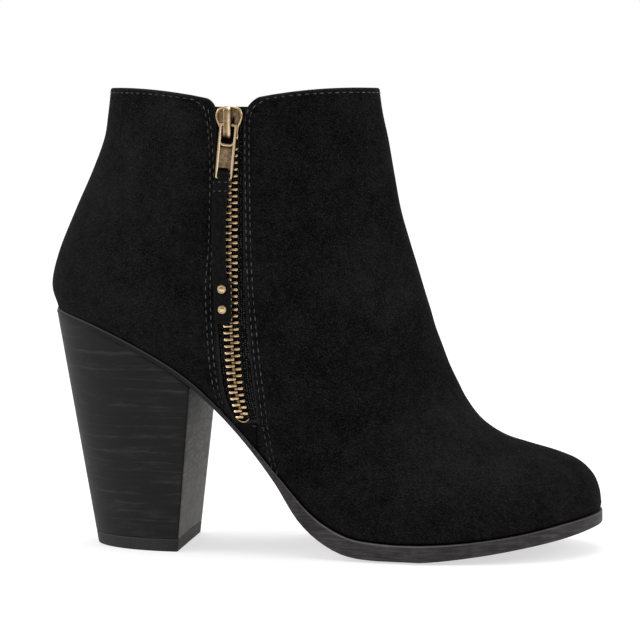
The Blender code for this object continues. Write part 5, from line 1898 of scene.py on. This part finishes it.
def make_rivets(finishes):
    """Domed rivet heads with a ring pressed round their middle."""
    for name, along in zip(("upper", "lower"), RIVET_ALONG):
        line = np.linspace(along - 0.5, along + 0.5, 3)
        path, across, out = strap_points(line, strap_value("thickness", line) + RIVET_SEAT)
        local, quads = turned(column(RIVET, "radius"), column(RIVET, "height"), RIVET_SIDES)
        axes = (path[1], across[1], np.cross(out[1], across[1]), out[1])
        patina = np.repeat(column(RIVET, "patina"), RIVET_SIDES)
        shape = in_axes(axes, local), quads
        make_brass(f"rivet_head_{name}", shape, patina, finishes, "pull", f"rivet_{name}")


# Camera, floor and light

CAMERA_AZIMUTH, CAMERA_ELEVATION = math.radians(8.0), math.radians(4.8)
CAMERA_DISTANCE, CAMERA_FOCAL_PIXELS, SENSOR = 1000.0, 2550.0, 36.0
CAMERA_TARGET = np.array([106.78, 0.0, 89.2])


def look_along(item, way):
    """Turns a camera or a light so that it looks along a vector, with its top up."""
    item.rotation_mode = "QUATERNION"
    item.rotation_quaternion = way.to_track_quat("-Z", "Y")


def make_camera():
    """Camera at the photograph's angle: back from its target along azimuth and elevation."""
    back = np.array([
        math.sin(CAMERA_AZIMUTH) * math.cos(CAMERA_ELEVATION),
        -math.cos(CAMERA_AZIMUTH) * math.cos(CAMERA_ELEVATION),
        math.sin(CAMERA_ELEVATION),
    ])
    data = bpy.data.cameras.new("photo_camera")
    data.sensor_width = SENSOR
    data.lens = CAMERA_FOCAL_PIXELS / PHOTO_SIZE * SENSOR
    camera = bpy.data.objects.new("photo_camera", data)
    bpy.context.scene.collection.objects.link(camera)
    camera.location = Vector((CAMERA_TARGET + back * CAMERA_DISTANCE) * MM + FOOTPRINT)
    look_along(camera, Vector(-back))
    bpy.context.scene.camera = camera


SOFT_BOXES = table(
    "name place aim size power",
    ("heel_light", (-1.5, -0.5, 0.9), (0.0, 0.0, 0.08), 0.9, 9.0),
    ("toe_light", (1.5, -0.4, 0.9), (0.0, 0.0, 0.06), 0.9, 8.0),
    ("top_light", (0.0, 0.2, 1.8), (0.0, 0.0, 0.06), 1.2, 10.0),
)


DARK_SIDE = 0.3


def make_world():
    """Pale surroundings that darken behind the camera; the camera itself sees them white."""
    world = bpy.data.worlds.new("studio")
    world.use_nodes = True
    nodes = Nodes(world.node_tree)
    towards_back = nodes.split(nodes.node("ShaderNodeTexCoord", output="Generated"))[1]
    seen = nodes.node("ShaderNodeLightPath", output="Is Camera Ray")
    sky = world.node_tree.nodes["Background"].inputs
    nodes.put(sky["Color"], (1.0, 1.0, 1.0))
    nodes.put(sky["Strength"], towards_back.ramp(-1.0, 0.1, DARK_SIDE, 1.0).at_least(seen))
    bpy.context.scene.world = world


def make_lights():
    """Soft boxes to both sides and above."""
    for box in SOFT_BOXES:
        data = bpy.data.lights.new(box.name, "AREA")
        data.shape, data.size, data.energy = "DISK", box.size, box.power
        light = bpy.data.objects.new(box.name, data)
        bpy.context.scene.collection.objects.link(light)
        light.location = box.place
        look_along(light, Vector(box.aim) - Vector(box.place))


FLOOR_RINGS, FLOOR_SIDES = (0.0, 0.3, 1.0, 30.0), 64


def make_floor(finish):
    """Round floor: rings of a disc about the boot, in metres, at the height it stands on."""
    points, quads = turned(FLOOR_RINGS, np.zeros(len(FLOOR_RINGS)), FLOOR_SIDES)
    mesh = bpy.data.meshes.new("pale_floor")
    mesh.from_pydata(points.reshape(-1, 3), [], quads.tolist())
    clean_mesh(mesh, closed=False)
    mesh.materials.append(finish)
    floor = bpy.data.objects.new("pale_floor", mesh)
    bpy.context.scene.collection.objects.link(floor)


# Add-on

def colour(name, description, default):
    """A colour that a user can change."""
    return bpy.props.FloatVectorProperty(
        name=name, description=description, default=default, size=3, min=0.0, max=1.0, subtype="COLOR"
    )


def length(name, description, millimetres):
    """A length that a user can change, from its millimetres."""
    return bpy.props.FloatProperty(
        name=name, description=description, default=millimetres * MM, min=0.0, unit="LENGTH", precision=5
    )


class BootSizes(bpy.types.PropertyGroup):
    """Sizes of the boot's fine pieces."""

    suede_wall: length("Suede", "Thickness of the suede", 1.1)
    lining_wall: length("Lining", "Thickness of the lining", 0.55)
    stitch_pitch: length("Stitch pitch", "Distance from stitch to stitch", 3.0)
    stitch_length: length("Stitch length", "Length of a stitch on the surface", 1.9)
    stitch_width: length("Thread", "Thickness of the thread", 0.48)
    crease_depth: bpy.props.FloatProperty(
        name="Creases", description="Depth of the creases", default=1.0, min=0.0, max=3.0, subtype="FACTOR"
    )


class BootColours(bpy.types.PropertyGroup):
    """Colours of the boot's finishes."""

    # suede_light is the nap's lightest tone, reached in its flecks and in the patches of painted light
    suede_dark: colour("Suede, dark", "Suede brushed away from the light", (0.0016, 0.0016, 0.0017))
    suede_light: colour("Suede, light", "Suede brushed towards the light", (0.0190, 0.0190, 0.0200))
    thread: colour("Thread", "Sewing thread", (0.022, 0.022, 0.023))
    lining: colour("Lining", "Lining and sock", (0.010, 0.0097, 0.0093))
    tape: colour("Zip tape", "Woven zip tape", (0.0026, 0.0026, 0.0027))
    # brass_highlight is a painted highlight; brass_stain_and_shade is both the stain in the hollows and
    # painted shade
    brass: colour("Brass, rubbed", "Brass on rubbed edges", (0.635, 0.45, 0.235))
    brass_highlight: colour("Brass, polished", "Brass on polished ridges", (0.90, 0.77, 0.55))
    brass_stain_and_shade: colour("Brass, stained", "Brass in the hollows", (0.10, 0.066, 0.045))
    strap: colour("Strap", "Strap leather", (0.0015, 0.0015, 0.0016))
    heel: colour("Heel", "Heel side", (0.0070, 0.0070, 0.0071))
    heel_line: colour("Heel lines", "Lines between the heel's layers", (0.0245, 0.0243, 0.0240))
    # The breast's colours are partly painted light: the heel's front face is lit more than its sides
    breast: colour("Heel breast", "Front face of the heel", (0.112, 0.102, 0.093))
    breast_dark: colour("Breast marks", "Marks on the heel's front face", (0.042, 0.040, 0.038))
    sole: colour("Sole edge", "Edge of the outsole", (0.020, 0.0185, 0.0185))
    sole_worn: colour("Sole edge, worn", "Worn places of the sole's edge", (0.078, 0.072, 0.072))
    rubber: colour("Rubber", "Top lift and tread", (0.0185, 0.0185, 0.0185))
    floor: colour("Floor", "Floor under the boot", (0.46, 0.46, 0.46))


@lru_cache(maxsize=1)
def boot_finishes():
    """Every finish of the boot by its short name."""
    colours = bpy.context.scene.boot_colours
    makers = {
        "suede": suede_finish,
        "thread": thread_finish,
        "lining": lining_finish,
        "tape": tape_finish,
        "brass": brass_finish,
        "strap": strap_finish,
        "heel": heel_finish,
        "breast": breast_finish,
        "sole": sole_finish,
        "tread": tread_finish,
        "rubber": rubber_finish,
        "floor": floor_finish,
    }
    return {name: maker(colours) for name, maker in makers.items()}


class BOOT_OT_stage(bpy.types.Operator):
    """Makes the camera, the light and the floor"""

    bl_idname = "boot.stage"
    bl_label = "Stage"

    def execute(self, context):
        make_camera()
        make_world()
        make_lights()
        make_floor(boot_finishes()["floor"])
        context.scene.view_settings.view_transform = "Standard"
        return {"FINISHED"}


class BOOT_OT_upper(bpy.types.Operator):
    """Makes the suede upper with its lining and stitches"""

    bl_idname = "boot.upper"
    bl_label = "Upper"

    def execute(self, context):
        finishes, sizes = boot_finishes(), context.scene.boot_sizes
        make_upper(finishes, sizes)
        make_lining(finishes, sizes)
        make_stitches(finishes, sizes)
        return {"FINISHED"}


class BOOT_OT_sole(bpy.types.Operator):
    """Makes the outsole and the sock inside"""

    bl_idname = "boot.sole"
    bl_label = "Sole"

    def execute(self, context):
        make_outsole(boot_finishes())
        make_insole(boot_finishes())
        return {"FINISHED"}


class BOOT_OT_heel(bpy.types.Operator):
    """Makes the stacked heel and its top lift"""

    bl_idname = "boot.heel"
    bl_label = "Heel"

    def execute(self, context):
        make_heel(boot_finishes())
        make_top_lift(boot_finishes())
        return {"FINISHED"}


class BOOT_OT_zip(bpy.types.Operator):
    """Makes the zip's tape, teeth, bottom stop and slider"""

    bl_idname = "boot.zip"
    bl_label = "Zip"

    def execute(self, context):
        finishes = boot_finishes()
        make_tape(finishes)
        make_teeth(finishes)
        make_stop(finishes)
        make_slider(finishes)
        return {"FINISHED"}


class BOOT_OT_pull(bpy.types.Operator):
    """Makes the pull frame with its strap, stitches and rivets"""

    bl_idname = "boot.pull"
    bl_label = "Pull"

    def execute(self, context):
        finishes, sizes = boot_finishes(), context.scene.boot_sizes
        make_pull(finishes)
        make_strap(finishes)
        make_strap_stitches(finishes, sizes)
        make_rivets(finishes)
        return {"FINISHED"}


class BOOT_PT_looks(bpy.types.Panel):
    """Lists the boot's sizes, colours and pieces"""

    bl_idname = "BOOT_PT_looks"
    bl_label = "Ankle Boot"
    bl_space_type = "VIEW_3D"
    bl_region_type = "UI"
    bl_category = "Boot"

    def draw(self, context):
        for group in (context.scene.boot_sizes, context.scene.boot_colours):
            box = self.layout.box()
            for name in group.__annotations__:
                box.prop(group, name)
        for operator in OPERATORS:
            self.layout.operator(operator.bl_idname)


OPERATORS = (BOOT_OT_stage, BOOT_OT_upper, BOOT_OT_sole, BOOT_OT_heel, BOOT_OT_zip, BOOT_OT_pull)
CLASSES = (BootSizes, BootColours, *OPERATORS, BOOT_PT_looks)


def register():
    """Adds the classes, and the sizes and colours to the scene."""
    for made in CLASSES:
        bpy.utils.register_class(made)
    bpy.types.Scene.boot_sizes = bpy.props.PointerProperty(type=BootSizes)
    bpy.types.Scene.boot_colours = bpy.props.PointerProperty(type=BootColours)


def unregister():
    """Takes out what register added, in turn."""
    del bpy.types.Scene.boot_colours
    del bpy.types.Scene.boot_sizes
    for made in reversed(CLASSES):
        bpy.utils.unregister_class(made)


def main():
    """Makes every piece in order."""
    register()
    bpy.ops.boot.stage()
    bpy.ops.boot.upper()
    bpy.ops.boot.sole()
    bpy.ops.boot.heel()
    bpy.ops.boot.zip()
    bpy.ops.boot.pull()


if __name__ == "__main__":
    main()
